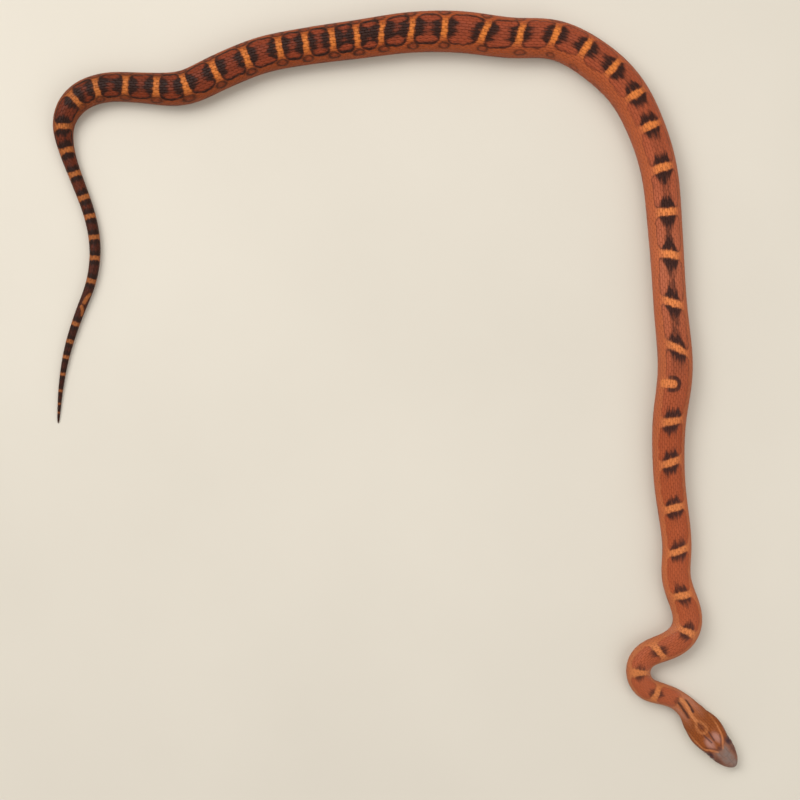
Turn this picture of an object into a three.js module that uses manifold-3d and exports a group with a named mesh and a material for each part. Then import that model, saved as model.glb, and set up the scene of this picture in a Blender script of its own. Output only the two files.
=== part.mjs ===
// A corn snake, life size, lying at rest on its belly: head and S-bent neck at the lower right,
// the body running up, round a wide corner and back along the top, the tail hanging down the left.
// Millimetres, +Z up. The origin is under the middle of the snake's box, on the surface it lies on.

import * as THREE from "three";
import { mergeVertices } from "three/addons/utils/BufferGeometryUtils.js";
import Module from "manifold-3d";

const wasm = await Module();
wasm.setup();

// Lengths along the back, measured from the snout
const HEAD_LENGTH = 31;
const STRAIGHT = 33;
const JAW_CORNER = 25;
const VENT = 739;
const GAP = 0.3;

// Head place and direction: the snout's tip, and the way from it back to the neck
const SNOUT = [181.1, -200.4];
const HEAD_DIRECTION = [-0.645, 0.764];

// The line of the spine behind the head, chosen point by point
const ROUTE = [
  [153.3, -166.8],
  [143.5, -161.9],
  [132.8, -159.4],
  [128.4, -149.3],
  [132.3, -141.0],
  [141.6, -137.6],
  [151.4, -132.7],
  [156.0, -123.3],
  [153.5, -112.9],
  [149.1, -100.9],
  [149.8, -82.2],
  [145.6, -47.7],
  [145.3, -18.7],
  [148.7, 10.6],
  [146.0, 45.1],
  [143.5, 82.2],
  [140.0, 116.7],
  [133.3, 138.5],
  [122.7, 158.9],
  [106.3, 174.6],
  [85.5, 185.8],
  [60.6, 186.8],
  [34.2, 190.0],
  [7.7, 189.8],
  [-18.7, 186.3],
  [-45.3, 182.8],
  [-70.9, 177.9],
  [-92.5, 169.3],
  [-113.0, 160.2],
  [-135.5, 160.7],
  [-154.2, 161.0],
  [-169.1, 155.3],
  [-176.9, 143.0],
  [-175.3, 127.6],
  [-169.5, 111.1],
  [-163.2, 93.7],
  [-160.2, 76.7],
  [-162.1, 58.5],
  [-168.9, 40.7],
  [-175.1, 21.7],
  [-178.6, 3.0],
  [-180.4, -17.8],
];

// Half of the width, by distance from the snout
const HALF_WIDTH = [
  [0, 3.7],
  [2.5, 4.1],
  [4.6, 4.8],
  [6.2, 5.5],
  [9, 6.45],
  [12.8, 7],
  [15.6, 7.4],
  [19.7, 8.35],
  [25, 9.15],
  [28, 8.95],
  [31, 8.25],
  [36, 6.95],
  [40, 6],
  [46, 5.5],
  [52, 5.6],
  [64, 6.2],
  [76, 6.6],
  [88, 7.05],
  [100, 7.5],
  [112, 7.85],
  [148, 7.75],
  [172, 8.1],
  [208, 8.65],
  [250, 9.35],
  [296, 8.9],
  [328, 9.3],
  [364, 9.9],
  [400, 10.5],
  [418, 10.8],
  [450, 10.45],
  [496, 10.95],
  [520, 10.8],
  [556, 10.2],
  [592, 9.7],
  [640, 9.5],
  [656, 9],
  [676, 8.1],
  [704, 7.7],
  [716, 7],
  [726, 5.8],
  [738, 4.4],
  [750, 3.7],
  [772, 3.3],
  [796, 3],
  [820, 2.6],
  [844, 2.2],
  [868, 1.45],
  [880, 1],
  [890, 0.55],
];

// Height of the back above the floor
const BACK_HEIGHT = [
  [0, 5.9],
  [4, 6.9],
  [9, 8.3],
  [13, 9.2],
  [19, 9.9],
  [26, 10.5],
  [33, 10.3],
  [40, 9.9],
  [46, 9.7],
  [64, 10.6],
  [88, 12],
  [112, 13.4],
  [148, 13.3],
  [208, 14.8],
  [250, 16],
  [296, 15.2],
  [364, 16.9],
  [418, 18.4],
  [450, 17.8],
  [496, 18.7],
  [556, 17.4],
  [592, 16.6],
  [640, 16.2],
  [676, 13.9],
  [704, 13.2],
  [716, 12],
  [726, 10.2],
  [738, 8.1],
  [750, 7],
  [796, 5.7],
  [844, 4.2],
  [868, 2.9],
  [890, 1.2],
];

// A smooth curve through [place, value] stations.
function profile(stations) {
  const slope = stations.map((_, i) => {
    const [a, b] = [stations[Math.max(i - 1, 0)], stations[Math.min(i + 1, stations.length - 1)]];
    return (b[1] - a[1]) / (b[0] - a[0]);
  });
  return (s) => {
    const last = stations.length - 2;
    let i = stations.findIndex((p, k) => k <= last && s < stations[k + 1][0]);
    if (i < 0) i = last;
    const [s0, v0] = stations[i];
    const [s1, v1] = stations[i + 1];
    const w = s1 - s0;
    const t = THREE.MathUtils.clamp((s - s0) / w, 0, 1);
    const h = t * t * (3 - 2 * t);
    return v0 * (1 - h) + v1 * h + w * (slope[i] * t * (1 - t) ** 2 - slope[i + 1] * t * t * (1 - t));
  };
}

const halfWidth = profile(HALF_WIDTH);
const backHeight = profile(BACK_HEIGHT);
const smoothstep = THREE.MathUtils.smoothstep;
const bump = (x, middle, spread) => Math.exp(-(((x - middle) / spread) ** 2));

// The spine's line in even steps, straight along the head and eased through the bends.
const SAMPLE_STEP = 1;
const CURVE_DETAIL = 24;
const EASE_REACH = 5;
const EASE_PASSES = 2;

function evenSteps(line) {
  const along = [0];
  for (let i = 1; i < line.length; i++) along.push(along[i - 1] + line[i].distanceTo(line[i - 1]));
  const total = along[along.length - 1];
  const count = Math.round(total / SAMPLE_STEP);
  const steps = [];
  let k = 0;
  for (let i = 0; i <= count; i++) {
    const at = (total * i) / count;
    while (k < line.length - 2 && along[k + 1] < at) k++;
    steps.push(line[k].clone().lerp(line[k + 1], (at - along[k]) / (along[k + 1] - along[k])));
  }
  return steps;
}

function spineLine() {
  const back = new THREE.Vector3(...HEAD_DIRECTION, 0).normalize();
  const onHead = (s) => new THREE.Vector3(...SNOUT, 0).addScaledVector(back, s);
  const headPoints = [0, HEAD_LENGTH / 2, HEAD_LENGTH].map(onHead);
  const points = [...headPoints, ...ROUTE.map((p) => new THREE.Vector3(...p, 0))];
  const curve = new THREE.CatmullRomCurve3(points, false, "centripetal");
  const straight = Math.round(STRAIGHT / SAMPLE_STEP);
  let line = evenSteps(curve.getPoints(CURVE_DETAIL * (points.length - 1)));
  line = line.map((p, i) => (i <= straight ? onHead(i * SAMPLE_STEP) : p));
  for (let pass = 0; pass < EASE_PASSES; pass++) {
    line = line.map((_, i) => {
      const reach = Math.min(EASE_REACH, Math.max(i - straight, 0), line.length - 1 - i);
      const sum = new THREE.Vector3();
      for (let k = i - reach; k <= i + reach; k++) sum.add(line[k]);
      return sum.divideScalar(2 * reach + 1);
    });
  }
  return line;
}

// The spine measured along itself: place, way to the tail and the snake's left, by distance from the snout.
const FRAME_REACH = 1.5;

function measuredSpine() {
  const line = spineLine();
  const along = [0];
  for (let i = 1; i < line.length; i++) along.push(along[i - 1] + line[i].distanceTo(line[i - 1]));
  const total = along[along.length - 1];
  const place = (s) => {
    const at = THREE.MathUtils.clamp(s, 0, total);
    const above = along.findIndex((v) => v > at);
    const k = above < 0 ? line.length - 2 : Math.max(above - 1, 0);
    return line[k].clone().lerp(line[k + 1], (at - along[k]) / (along[k + 1] - along[k]));
  };
  const frame = (s) => {
    const ahead = place(Math.min(s + FRAME_REACH, total));
    const back = ahead.sub(place(Math.max(s - FRAME_REACH, 0))).normalize();
    return { place: place(s), back, left: new THREE.Vector3(back.y, -back.x, 0) };
  };
  return { total, frame };
}

const spine = measuredSpine();
const TOTAL_LENGTH = spine.total;

// Cross-section of the trunk: a rounded back over a flat belly.
// The angle runs from 0 at the ridge of the back to PI under the belly, negative on the right side.
const WIDEST_AT = 0.44;
const BELLY_SINK = 0.06;
const BACK_ROUNDNESS = 2.15;
const BELLY_ROUNDNESS = 2.5;
const power = (x, n) => Math.sign(x) * Math.abs(x) ** (2 / n);

function loaf(wide, high, widest, roundness, angle) {
  const c = Math.cos(angle);
  const reach = c > 0 ? high - widest : widest + high * BELLY_SINK;
  const n = c > 0 ? roundness : BELLY_ROUNDNESS;
  return [wide * power(Math.sin(angle), n), widest + reach * power(c, n)];
}

function trunkSection(s, angle) {
  const high = backHeight(s);
  const [across, up] = loaf(halfWidth(s), high, high * WIDEST_AT, BACK_ROUNDNESS, angle);
  return [across, Math.max(up, 0)];
}

// Head: the height of the mouth's line by distance from the snout
const MOUTH_LINE = [
  [-1, 2.5],
  [2, 2.7],
  [8, 3.2],
  [14, 3.05],
  [20, 3.2],
  [25, 4.3],
];
const mouthHeight = profile(MOUTH_LINE);

// Head: the round front of the snout and of the chin under it
const SNOUT_TIP_HEIGHT = 4.25;
const SNOUT_ROUNDING = 5.0;
const SNOUT_BLUNTNESS = 2.3;
const CHIN_SETBACK = 1.4;
const CHIN_ROUNDING = 4.6;
const rounding = (s, length) => (s >= length ? 1 : Math.sqrt(Math.max(0, 1 - (1 - Math.max(s, 0) / length) ** 2)));

// Head: forms on its sides, each with its distance from the snout, turn from the ridge in degrees, spreads and height
const CROWN_ROUNDNESS = 2.75;
const CROWN_WIDEST_AT = 0.46;
const BROW = { at: 12.4, reach: 3.6, turn: 47, spread: 13, rise: 0.42 };
const CANTHUS = { at: 6.5, reach: 3.6, turn: 52, spread: 10, rise: 0.34 };
const LOREAL_HOLLOW = { at: 7.8, reach: 3.0, turn: 76, spread: 11, rise: -0.5 };
const TEMPLE = { at: 24, reach: 5.5, turn: 62, spread: 22, rise: 0.35 };
const CROWN_FURROW = { at: 25, reach: 6.0, turn: 0, spread: 9, rise: -0.22 };
const FORMS = [BROW, CANTHUS, LOREAL_HOLLOW, TEMPLE, CROWN_FURROW];
const LIP_SWELL = 0.26;
const LIP_HEIGHT = 0.85;

function headSection(s, angle) {
  const boxy = 1 - smoothstep(s, 14, HEAD_LENGTH);
  const high = backHeight(s);
  const widest = high * THREE.MathUtils.lerp(WIDEST_AT, CROWN_WIDEST_AT, boxy);
  const roundness = THREE.MathUtils.lerp(BACK_ROUNDNESS, CROWN_ROUNDNESS, boxy);
  let [across, up] = loaf(halfWidth(s), high, widest, roundness, angle);
  const turn = THREE.MathUtils.radToDeg(Math.abs(angle));
  const rise = FORMS.reduce((sum, f) => sum + f.rise * bump(s, f.at, f.reach) * bump(turn, f.turn, f.spread), 0);
  const mouth = mouthHeight(s);
  const lips = bump(up, mouth + LIP_HEIGHT, LIP_HEIGHT) - 0.8 * bump(up, mouth - 0.5, 0.6);
  const side = Math.sign(Math.sin(angle));
  across += Math.sin(angle) * rise + side * LIP_SWELL * lips * smoothstep(JAW_CORNER + 1 - s, 0, 5);
  up += Math.cos(angle) * rise;
  const narrow = rounding(s, SNOUT_ROUNDING);
  const blunt = rounding(s, SNOUT_BLUNTNESS);
  const onUpper = (z) => SNOUT_TIP_HEIGHT + (z - SNOUT_TIP_HEIGHT) * blunt;
  if (up >= mouth) return [across * narrow, onUpper(up)];
  const chin = rounding(s - CHIN_SETBACK, CHIN_ROUNDING);
  const lip = onUpper(mouth);
  return [across * narrow * chin, Math.max(lip + (Math.max(up, 0) - lip) * chin, 0)];
}

// A closed skin: rings at the given distances from the snout, each with its section set in place.
function sweep(rings, sides, section, inPlace) {
  const steps = rings.length - 1;
  const tube = new THREE.CylinderGeometry(1, 1, steps, sides, steps);
  const corner = tube.getAttribute("position");
  for (let i = 0; i < corner.count; i++) {
    const ring = rings[Math.round(corner.getY(i) + steps / 2)];
    const onAxis = Math.hypot(corner.getX(i), corner.getZ(i)) < 0.5;
    const middle = (section(ring, 0)[1] + section(ring, Math.PI)[1]) / 2;
    const angle = Math.atan2(corner.getX(i), corner.getZ(i));
    const placed = inPlace(ring, onAxis ? [0, middle] : section(ring, angle));
    corner.setXYZ(i, placed.x, placed.y, placed.z);
  }
  return closed(tube);
}

// The geometry with shared corners merged and faces of no area dropped.
const MERGE_REACH = 1e-4;

function closed(geometry) {
  const bare = geometry.clone();
  for (const name of ["normal", "uv"]) bare.deleteAttribute(name);
  const merged = mergeVertices(bare, MERGE_REACH);
  const faces = [];
  const corners = merged.index.array;
  for (let i = 0; i < corners.length; i += 3) {
    const [p, q, r] = corners.subarray(i, i + 3);
    if (p !== q && q !== r && p !== r) faces.push(p, q, r);
  }
  merged.setIndex(faces);
  return merged;
}

// A geometry as a solid with its faces pointing out.
function toSolid(geometry) {
  const vertProperties = geometry.getAttribute("position").array;
  const make = (triVerts) => new wasm.Manifold(new wasm.Mesh({ numProp: 3, vertProperties, triVerts }));
  const triVerts = new Uint32Array(geometry.index.array);
  const solid = make(triVerts);
  return solid.volume() > 0 ? solid : make(triVerts.reverse());
}

// The pieces of a solid, largest first.
const pieces = (solid) => solid.decompose().sort((a, b) => b.volume() - a.volume());

// The largest closed surface of a solid as a named mesh.
function toMesh(solid, name, material) {
  const { vertProperties, triVerts, numProp, numVert } = pieces(solid)[0].getMesh();
  const place = new Float32Array(numVert * 3);
  for (let i = 0; i < numVert; i++) place.set(vertProperties.subarray(i * numProp, i * numProp + 3), i * 3);
  const geometry = new THREE.BufferGeometry();
  geometry.setAttribute("position", new THREE.BufferAttribute(place, 3));
  geometry.setIndex(new THREE.BufferAttribute(triVerts, 1));
  const mesh = new THREE.Mesh(geometry, material);
  mesh.name = name;
  return mesh;
}

// Skin colours of the animal
const paint = (color, roughness) => new THREE.MeshStandardMaterial({ color, roughness, metalness: 0 });
const SADDLE = paint(0xa04a2a, 0.5);
const GROUND = paint(0xb8622f, 0.5);
const CROWN = paint(0x8f5230, 0.42);
const JAW = paint(0xd9b48c, 0.45);
const DARK = paint(0x4a2a1e, 0.5);
const EYE = paint(0x2a1614, 0.08);

const snake = new THREE.Group();
snake.name = "corn_snake";

// Trunk: where its rings go, closer together where the spine turns
const LONGEST_STEP = 5.2;
const SHORTEST_STEP = 1.2;
const MOST_TURN = THREE.MathUtils.degToRad(10);
const STEP_CUT = 0.85;

function ringsBetween(from, to) {
  const turnOver = (a, b) => spine.frame(a).back.angleTo(spine.frame(b).back);
  const rings = [from];
  let s = from;
  while (to - s > SHORTEST_STEP / 2) {
    let step = Math.min(LONGEST_STEP, to - s);
    while (step > SHORTEST_STEP && turnOver(s, s + step) > MOST_TURN) step *= STEP_CUT;
    s = Math.min(s + step, to);
    rings.push(s);
  }
  rings[rings.length - 1] = to;
  return rings;
}

function alongSpine(s, [across, up]) {
  const { place, left } = spine.frame(s);
  return place.addScaledVector(left, across).setZ(up);
}

// The last few millimetres of the tail close in a blunt point.
const TIP_ROUNDING = 3;
const TIP_HEIGHT_LEFT = 0.35;

function tipSection(s, angle) {
  const [across, up] = trunkSection(s, angle);
  const left = rounding(TOTAL_LENGTH - s, TIP_ROUNDING);
  return [across * left, up * THREE.MathUtils.lerp(TIP_HEIGHT_LEFT, 1, left)];
}

// Trunk: the lengths of neck, body and tail, where each ends, the sides round it and its colour
const BODY_SIDES = 22;
const TAIL_SIDES = 16;
const LENGTHS = [
  { name: "neck_front", end: 57, sides: BODY_SIDES, material: GROUND },
  { name: "neck_bend", end: 96, sides: BODY_SIDES, material: SADDLE },
  { name: "neck_rear", end: 136, sides: BODY_SIDES, material: GROUND },
  { name: "forebody_front", end: 212, sides: BODY_SIDES, material: SADDLE },
  { name: "forebody_rear", end: 290, sides: BODY_SIDES, material: GROUND },
  { name: "midbody_front", end: 362, sides: BODY_SIDES, material: SADDLE },
  { name: "midbody_corner", end: 436, sides: BODY_SIDES, material: GROUND },
  { name: "midbody_rear", end: 520, sides: BODY_SIDES, material: SADDLE },
  { name: "hindbody_front", end: 604, sides: BODY_SIDES, material: GROUND },
  { name: "hindbody_rear", end: 682, sides: BODY_SIDES, material: SADDLE },
  { name: "vent_bend", end: VENT, sides: BODY_SIDES, material: DARK },
  { name: "tail_base", end: 792, sides: TAIL_SIDES, material: GROUND },
  { name: "tail_middle", end: 844, sides: TAIL_SIDES, material: DARK },
  { name: "tail_tip", end: TOTAL_LENGTH, sides: TAIL_SIDES, material: GROUND },
];

let start = HEAD_LENGTH;
for (const { name, end, sides, material } of LENGTHS) {
  const isTip = end === TOTAL_LENGTH;
  const rings = ringsBetween(start + GAP / 2, isTip ? end : end - GAP / 2);
  const skin = sweep(rings, sides, isTip ? tipSection : trunkSection, alongSpine);
  snake.add(toMesh(toSolid(skin), name, material));
  start = end;
}

// Head frame: X back from the snout, Y to the snake's right, Z up
const headFrame = new THREE.Group();
headFrame.position.set(...SNOUT, 0);
headFrame.rotation.z = Math.atan2(HEAD_DIRECTION[1], HEAD_DIRECTION[0]);
const inHead = (s, [across, up]) => new THREE.Vector3(s, -across, up);
const SIDES_OF_HEAD = [
  { name: "left", side: 1 },
  { name: "right", side: -1 },
];

// Eyes: a shallow dome on each side that looks outwards, a little up and forwards
const EYE_PLACE = 12.6;
const EYE_RADIUS = 1.95;
const EYE_DEPTH = 1.3;
const EYE_OUT = 6.0;
const EYE_HEIGHT = 6.35;
const EYE_TILT_UP = THREE.MathUtils.degToRad(20);
const EYE_TURN_FORWARD = THREE.MathUtils.degToRad(9);

function eyeball(side, grow) {
  const ball = new THREE.SphereGeometry(1, 20, 12);
  ball.scale(EYE_RADIUS + grow, EYE_RADIUS + grow, EYE_DEPTH + grow);
  const level = Math.cos(EYE_TILT_UP);
  const ahead = level * Math.sin(EYE_TURN_FORWARD);
  const outward = new THREE.Vector3(-ahead, -side * level * Math.cos(EYE_TURN_FORWARD), Math.sin(EYE_TILT_UP));
  ball.applyQuaternion(new THREE.Quaternion().setFromUnitVectors(new THREE.Vector3(0, 0, 1), outward));
  return toSolid(closed(ball.translate(EYE_PLACE, -side * EYE_OUT, EYE_HEIGHT)));
}

// Nostrils: small pits high on the sides of the snout, longer than they are high
const NOSTRIL_PLACE = 2.7;
const NOSTRIL_TURN = THREE.MathUtils.degToRad(66);
const NOSTRIL_HALF_SIZE = [0.62, 0.5, 0.42];

function nostrilPit(side) {
  const pit = new THREE.SphereGeometry(1, 12, 8);
  const middle = inHead(NOSTRIL_PLACE, headSection(NOSTRIL_PLACE, side * NOSTRIL_TURN));
  return toSolid(closed(pit.scale(...NOSTRIL_HALF_SIZE).translate(middle.x, middle.y, middle.z)));
}

// Mouth: a thin cut along its line to the corner, then down behind the jaw to the throat
const THROAT_SLOPE = 2.4;
const CUT_AHEAD = 2;
const CUT_BELOW = 1;
const CUT_HALF_WIDTH = 12;

function mouthCut() {
  const line = [];
  for (let s = -CUT_AHEAD; s <= JAW_CORNER; s += 1) line.push(new THREE.Vector2(s, mouthHeight(s)));
  line.push(new THREE.Vector2(JAW_CORNER + THROAT_SLOPE, -CUT_BELOW));
  const offset = (way) => line.map((p, i) => {
    const last = i === line.length - 1;
    return new THREE.Vector2(p.x + (last ? (way * GAP) / 2 : 0), p.y + (last ? 0 : (way * GAP) / 2));
  });
  const slot = new THREE.Shape([...offset(1), ...offset(-1).reverse()]);
  const slab = new THREE.ExtrudeGeometry(slot, { depth: 2 * CUT_HALF_WIDTH, bevelEnabled: false });
  return toSolid(closed(slab.rotateX(Math.PI / 2).translate(0, CUT_HALF_WIDTH, 0)));
}

// Head: rings crowd together on the round of the snout
const HEAD_SIDES = 44;
const SNOUT_RINGS = [0, 0.12, 0.35, 0.7, 1.1, 1.6, 2.2, 2.9, 3.7, 4.5, 5.3];
const HEAD_STEP = 0.95;

function headRings() {
  const end = HEAD_LENGTH - GAP / 2;
  const rings = [...SNOUT_RINGS];
  for (let s = rings[rings.length - 1] + HEAD_STEP; s < end - HEAD_STEP / 2; s += HEAD_STEP) rings.push(s);
  return [...rings, end];
}

let whole = toSolid(sweep(headRings(), HEAD_SIDES, headSection, inHead));
for (const { name, side } of SIDES_OF_HEAD) {
  whole = whole.subtract(eyeball(side, GAP)).subtract(nostrilPit(side));
  headFrame.add(toMesh(eyeball(side, 0), `eye_${name}`, EYE));
}
const [skull, jaw] = pieces(whole.subtract(mouthCut()));
headFrame.add(toMesh(skull, "head", CROWN), toMesh(jaw, "lower_jaw", JAW));
snake.add(headFrame);

export default snake;
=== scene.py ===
"""A corn snake lying at rest on its belly, life size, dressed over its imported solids.

Lengths inside the classes are millimetres, along the spine from the snout or round the body from
the ridge of the back. Meshes are made in metres, in the frame of the solids.
"""

import logging
from dataclasses import dataclass
from enum import Enum

import bpy
import numpy as np
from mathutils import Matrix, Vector, kdtree


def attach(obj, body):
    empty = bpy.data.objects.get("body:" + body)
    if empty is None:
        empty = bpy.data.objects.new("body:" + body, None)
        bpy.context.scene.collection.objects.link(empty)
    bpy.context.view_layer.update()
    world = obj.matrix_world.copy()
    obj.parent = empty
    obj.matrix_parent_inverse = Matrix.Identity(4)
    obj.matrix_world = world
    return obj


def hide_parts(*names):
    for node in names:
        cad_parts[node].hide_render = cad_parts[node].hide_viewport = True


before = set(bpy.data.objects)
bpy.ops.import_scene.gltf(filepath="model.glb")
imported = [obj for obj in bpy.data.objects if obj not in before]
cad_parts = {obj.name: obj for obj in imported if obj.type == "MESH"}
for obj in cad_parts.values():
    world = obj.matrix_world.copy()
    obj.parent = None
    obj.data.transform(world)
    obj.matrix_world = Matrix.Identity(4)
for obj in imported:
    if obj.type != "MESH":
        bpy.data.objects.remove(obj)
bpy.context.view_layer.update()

MM = 0.001
SEED = 29
# Least values that keep divisions safe.
SMALL = 1e-6
SMALLER = 1e-9
SMALLEST = 1e-12
Array = np.ndarray
Line = tuple[tuple[float, float], ...]
Range = tuple[float, float]
Colour = tuple[float, float, float, float]
Stops = tuple[tuple[float, Colour], ...]
Places = tuple[Array, Array]
Socket = bpy.types.NodeSocket
log = logging.getLogger("corn_snake")


def smoothstep(x: Array, low: float, high: float) -> Array:
    """A smooth step from 0 at low to 1 at high."""
    t = np.clip((x - low) / (high - low), 0.0, 1.0)
    return t * t * (3 - 2 * t)


def bump(x: Array, middle: float, spread: float) -> Array:
    """A smooth hump that is 1 at its middle."""
    return np.exp(-(((x - middle) / spread) ** 2))


def lerp(a: Array, b: Array, t: Array) -> Array:
    """The value between a and b at share t."""
    return a + (b - a) * t


def wander(x: Array, y: Array, seed: int) -> Array:
    """Smooth random values from -1 to 1 over a plane.

    Args:
        x: places along, in cells.
        y: places across, in cells.
        seed: which random field.

    Returns:
        A value for each place.
    """
    size = 256
    field_values = np.random.default_rng(seed).uniform(-1, 1, (size, size))
    i = np.floor(x).astype(int)
    j = np.floor(y).astype(int)
    fx = smoothstep(x - i, 0, 1)
    fy = smoothstep(y - j, 0, 1)
    i0, j0, i1, j1 = i % size, j % size, (i + 1) % size, (j + 1) % size
    low = lerp(field_values[i0, j0], field_values[i1, j0], fx)
    high = lerp(field_values[i0, j1], field_values[i1, j1], fx)
    return lerp(low, high, fy)


def to_line(line: Line, t: Array, b: Array) -> Array:
    """Distance of places to a line of points.

    Args:
        line: the line's points, each a place along and a place across.
        t: places along.
        b: places across.

    Returns:
        The distance of each place.
    """
    best = np.full(np.broadcast(t, b).shape, np.inf)
    for (t0, b0), (t1, b1) in zip(line, line[1:]):
        dt, db = t1 - t0, b1 - b0
        share = np.clip(((t - t0) * dt + (b - b0) * db) / (dt * dt + db * db), 0, 1)
        best = np.minimum(best, np.hypot(t - t0 - share * dt, b - b0 - share * db))
    return best


@dataclass(frozen=True)
class Profile:
    """A smooth curve through (place, value) stations."""

    stations: Line

    def __call__(self, s: Array) -> Array:
        """The curve's value at each place, level beyond its ends.

        Args:
            s: places along the curve.

        Returns:
            A value for each place.
        """
        x, v = np.array(self.stations, float).T
        count = len(x)
        low = np.maximum(np.arange(count) - 1, 0)
        high = np.minimum(np.arange(count) + 1, count - 1)
        slope = (v[high] - v[low]) / (x[high] - x[low])
        i = np.clip(np.searchsorted(x, s, side="right") - 1, 0, count - 2)
        wide = x[i + 1] - x[i]
        t = np.clip((s - x[i]) / wide, 0, 1)
        h = t * t * (3 - 2 * t)
        bend = slope[i] * t * (1 - t) ** 2 - slope[i + 1] * t * t * (1 - t)
        return v[i] * (1 - h) + v[i + 1] * h + wide * bend


@dataclass
class Spine:
    """The line of the spine on the floor, measured from the snout."""

    snout: tuple[float, float] = (181.1, -200.4)
    direction: tuple[float, float] = (-0.645, 0.764)
    head_length: float = 31.0
    straight: int = 33
    detail: int = 24
    ease_reach: int = 5
    ease_passes: int = 2
    frame_reach: float = 1.5
    route: Line = (
        (153.3, -166.8), (143.5, -161.9), (132.8, -159.4), (128.4, -149.3), (132.3, -141.0),
        (141.6, -137.6), (151.4, -132.7), (156.0, -123.3), (153.5, -112.9), (149.1, -100.9),
        (149.8, -82.2), (145.6, -47.7), (145.3, -18.7), (148.7, 10.6), (146.0, 45.1),
        (143.5, 82.2), (140.0, 116.7), (133.3, 138.5), (122.7, 158.9), (106.3, 174.6),
        (85.5, 185.8), (60.6, 186.8), (34.2, 190.0), (7.7, 189.8), (-18.7, 186.3),
        (-45.3, 182.8), (-70.9, 177.9), (-92.5, 169.3), (-113.0, 160.2), (-135.5, 160.7),
        (-154.2, 161.0), (-169.1, 155.3), (-176.9, 143.0), (-175.3, 127.6), (-169.5, 111.1),
        (-163.2, 93.7), (-160.2, 76.7), (-162.1, 58.5), (-168.9, 40.7), (-175.1, 21.7),
        (-178.6, 3.0), (-180.4, -17.8),
    )

    def __post_init__(self) -> None:
        """Draw the line in steps of a millimetre, straight in the head and eased in the bends."""
        tip = np.array(self.snout)
        back = np.array(self.direction) / np.linalg.norm(self.direction)
        head = [tip, tip + back * self.head_length / 2, tip + back * self.head_length]
        line = self._even_steps(self._curve(np.array([*head, *self.route])))
        line[: self.straight + 1] = tip + back * np.arange(self.straight + 1)[:, None]
        count = len(line)
        step = np.arange(count)
        room = np.minimum(np.maximum(step - self.straight, 0), count - 1 - step)
        reach = np.minimum(self.ease_reach, room)
        for _ in range(self.ease_passes):
            total = np.vstack([[0, 0], np.cumsum(line, axis=0)])
            line = (total[step + reach + 1] - total[step - reach]) / (2 * reach + 1)[:, None]
        self.line = line
        self.at = self._along(line)
        self.total = float(self.at[-1])

    def _curve(self, points: Array) -> Array:
        """A smooth line through the points, closer where they are closer.

        Args:
            points: places to pass through.

        Returns:
            Close-set places on the line.
        """
        p = np.vstack([2 * points[0] - points[1], points, 2 * points[-1] - points[-2]])
        share = np.linspace(0, 1, self.detail, endpoint=False)[:, None]
        parts = []
        for i in range(1, len(p) - 2):
            p0, p1, p2, p3 = p[i - 1 : i + 3]
            d0, d1, d2 = (np.sqrt(np.linalg.norm(b - a)) for a, b in ((p0, p1), (p1, p2), (p2, p3)))
            t1 = ((p1 - p0) / d0 - (p2 - p0) / (d0 + d1) + (p2 - p1) / d1) * d1
            t2 = ((p2 - p1) / d1 - (p3 - p1) / (d1 + d2) + (p3 - p2) / d2) * d1
            square = -3 * p1 + 3 * p2 - 2 * t1 - t2
            cube = 2 * p1 - 2 * p2 + t1 + t2
            parts.append(p1 + t1 * share + square * share**2 + cube * share**3)
        return np.vstack([*parts, p[-2:-1]])

    @staticmethod
    def _along(line: Array) -> Array:
        """Distance of each point from the first."""
        return np.concatenate([[0], np.cumsum(np.linalg.norm(np.diff(line, axis=0), axis=1))])

    def _even_steps(self, line: Array) -> Array:
        """The line again in even steps of about a millimetre.

        Args:
            line: places along it.

        Returns:
            Places in even steps.
        """
        at = self._along(line)
        where = np.linspace(0, at[-1], int(round(at[-1])) + 1)
        return np.stack([np.interp(where, at, line[:, k]) for k in range(2)], 1)

    def place(self, s: Array) -> Array:
        """Places on the line at distances s."""
        return np.stack([np.interp(s, self.at, self.line[:, k]) for k in range(2)], -1)

    def frame(self, s: Array) -> tuple[Array, Array]:
        """The line's places and the way to the snake's left at distances s.

        Args:
            s: distances from the snout.

        Returns:
            Places and unit vectors, both on the floor.
        """
        ahead = self.place(np.minimum(s + self.frame_reach, self.total))
        back = ahead - self.place(np.maximum(s - self.frame_reach, 0))
        back /= np.linalg.norm(back, axis=-1, keepdims=True)
        return self.place(s), np.stack([back[..., 1], -back[..., 0]], -1)


@dataclass(frozen=True)
class HeadSwell:
    """A soft form on the head: its place, its turn from the ridge in degrees, spreads and rise."""

    at: float
    reach: float
    turn: float
    spread: float
    rise: float


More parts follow.
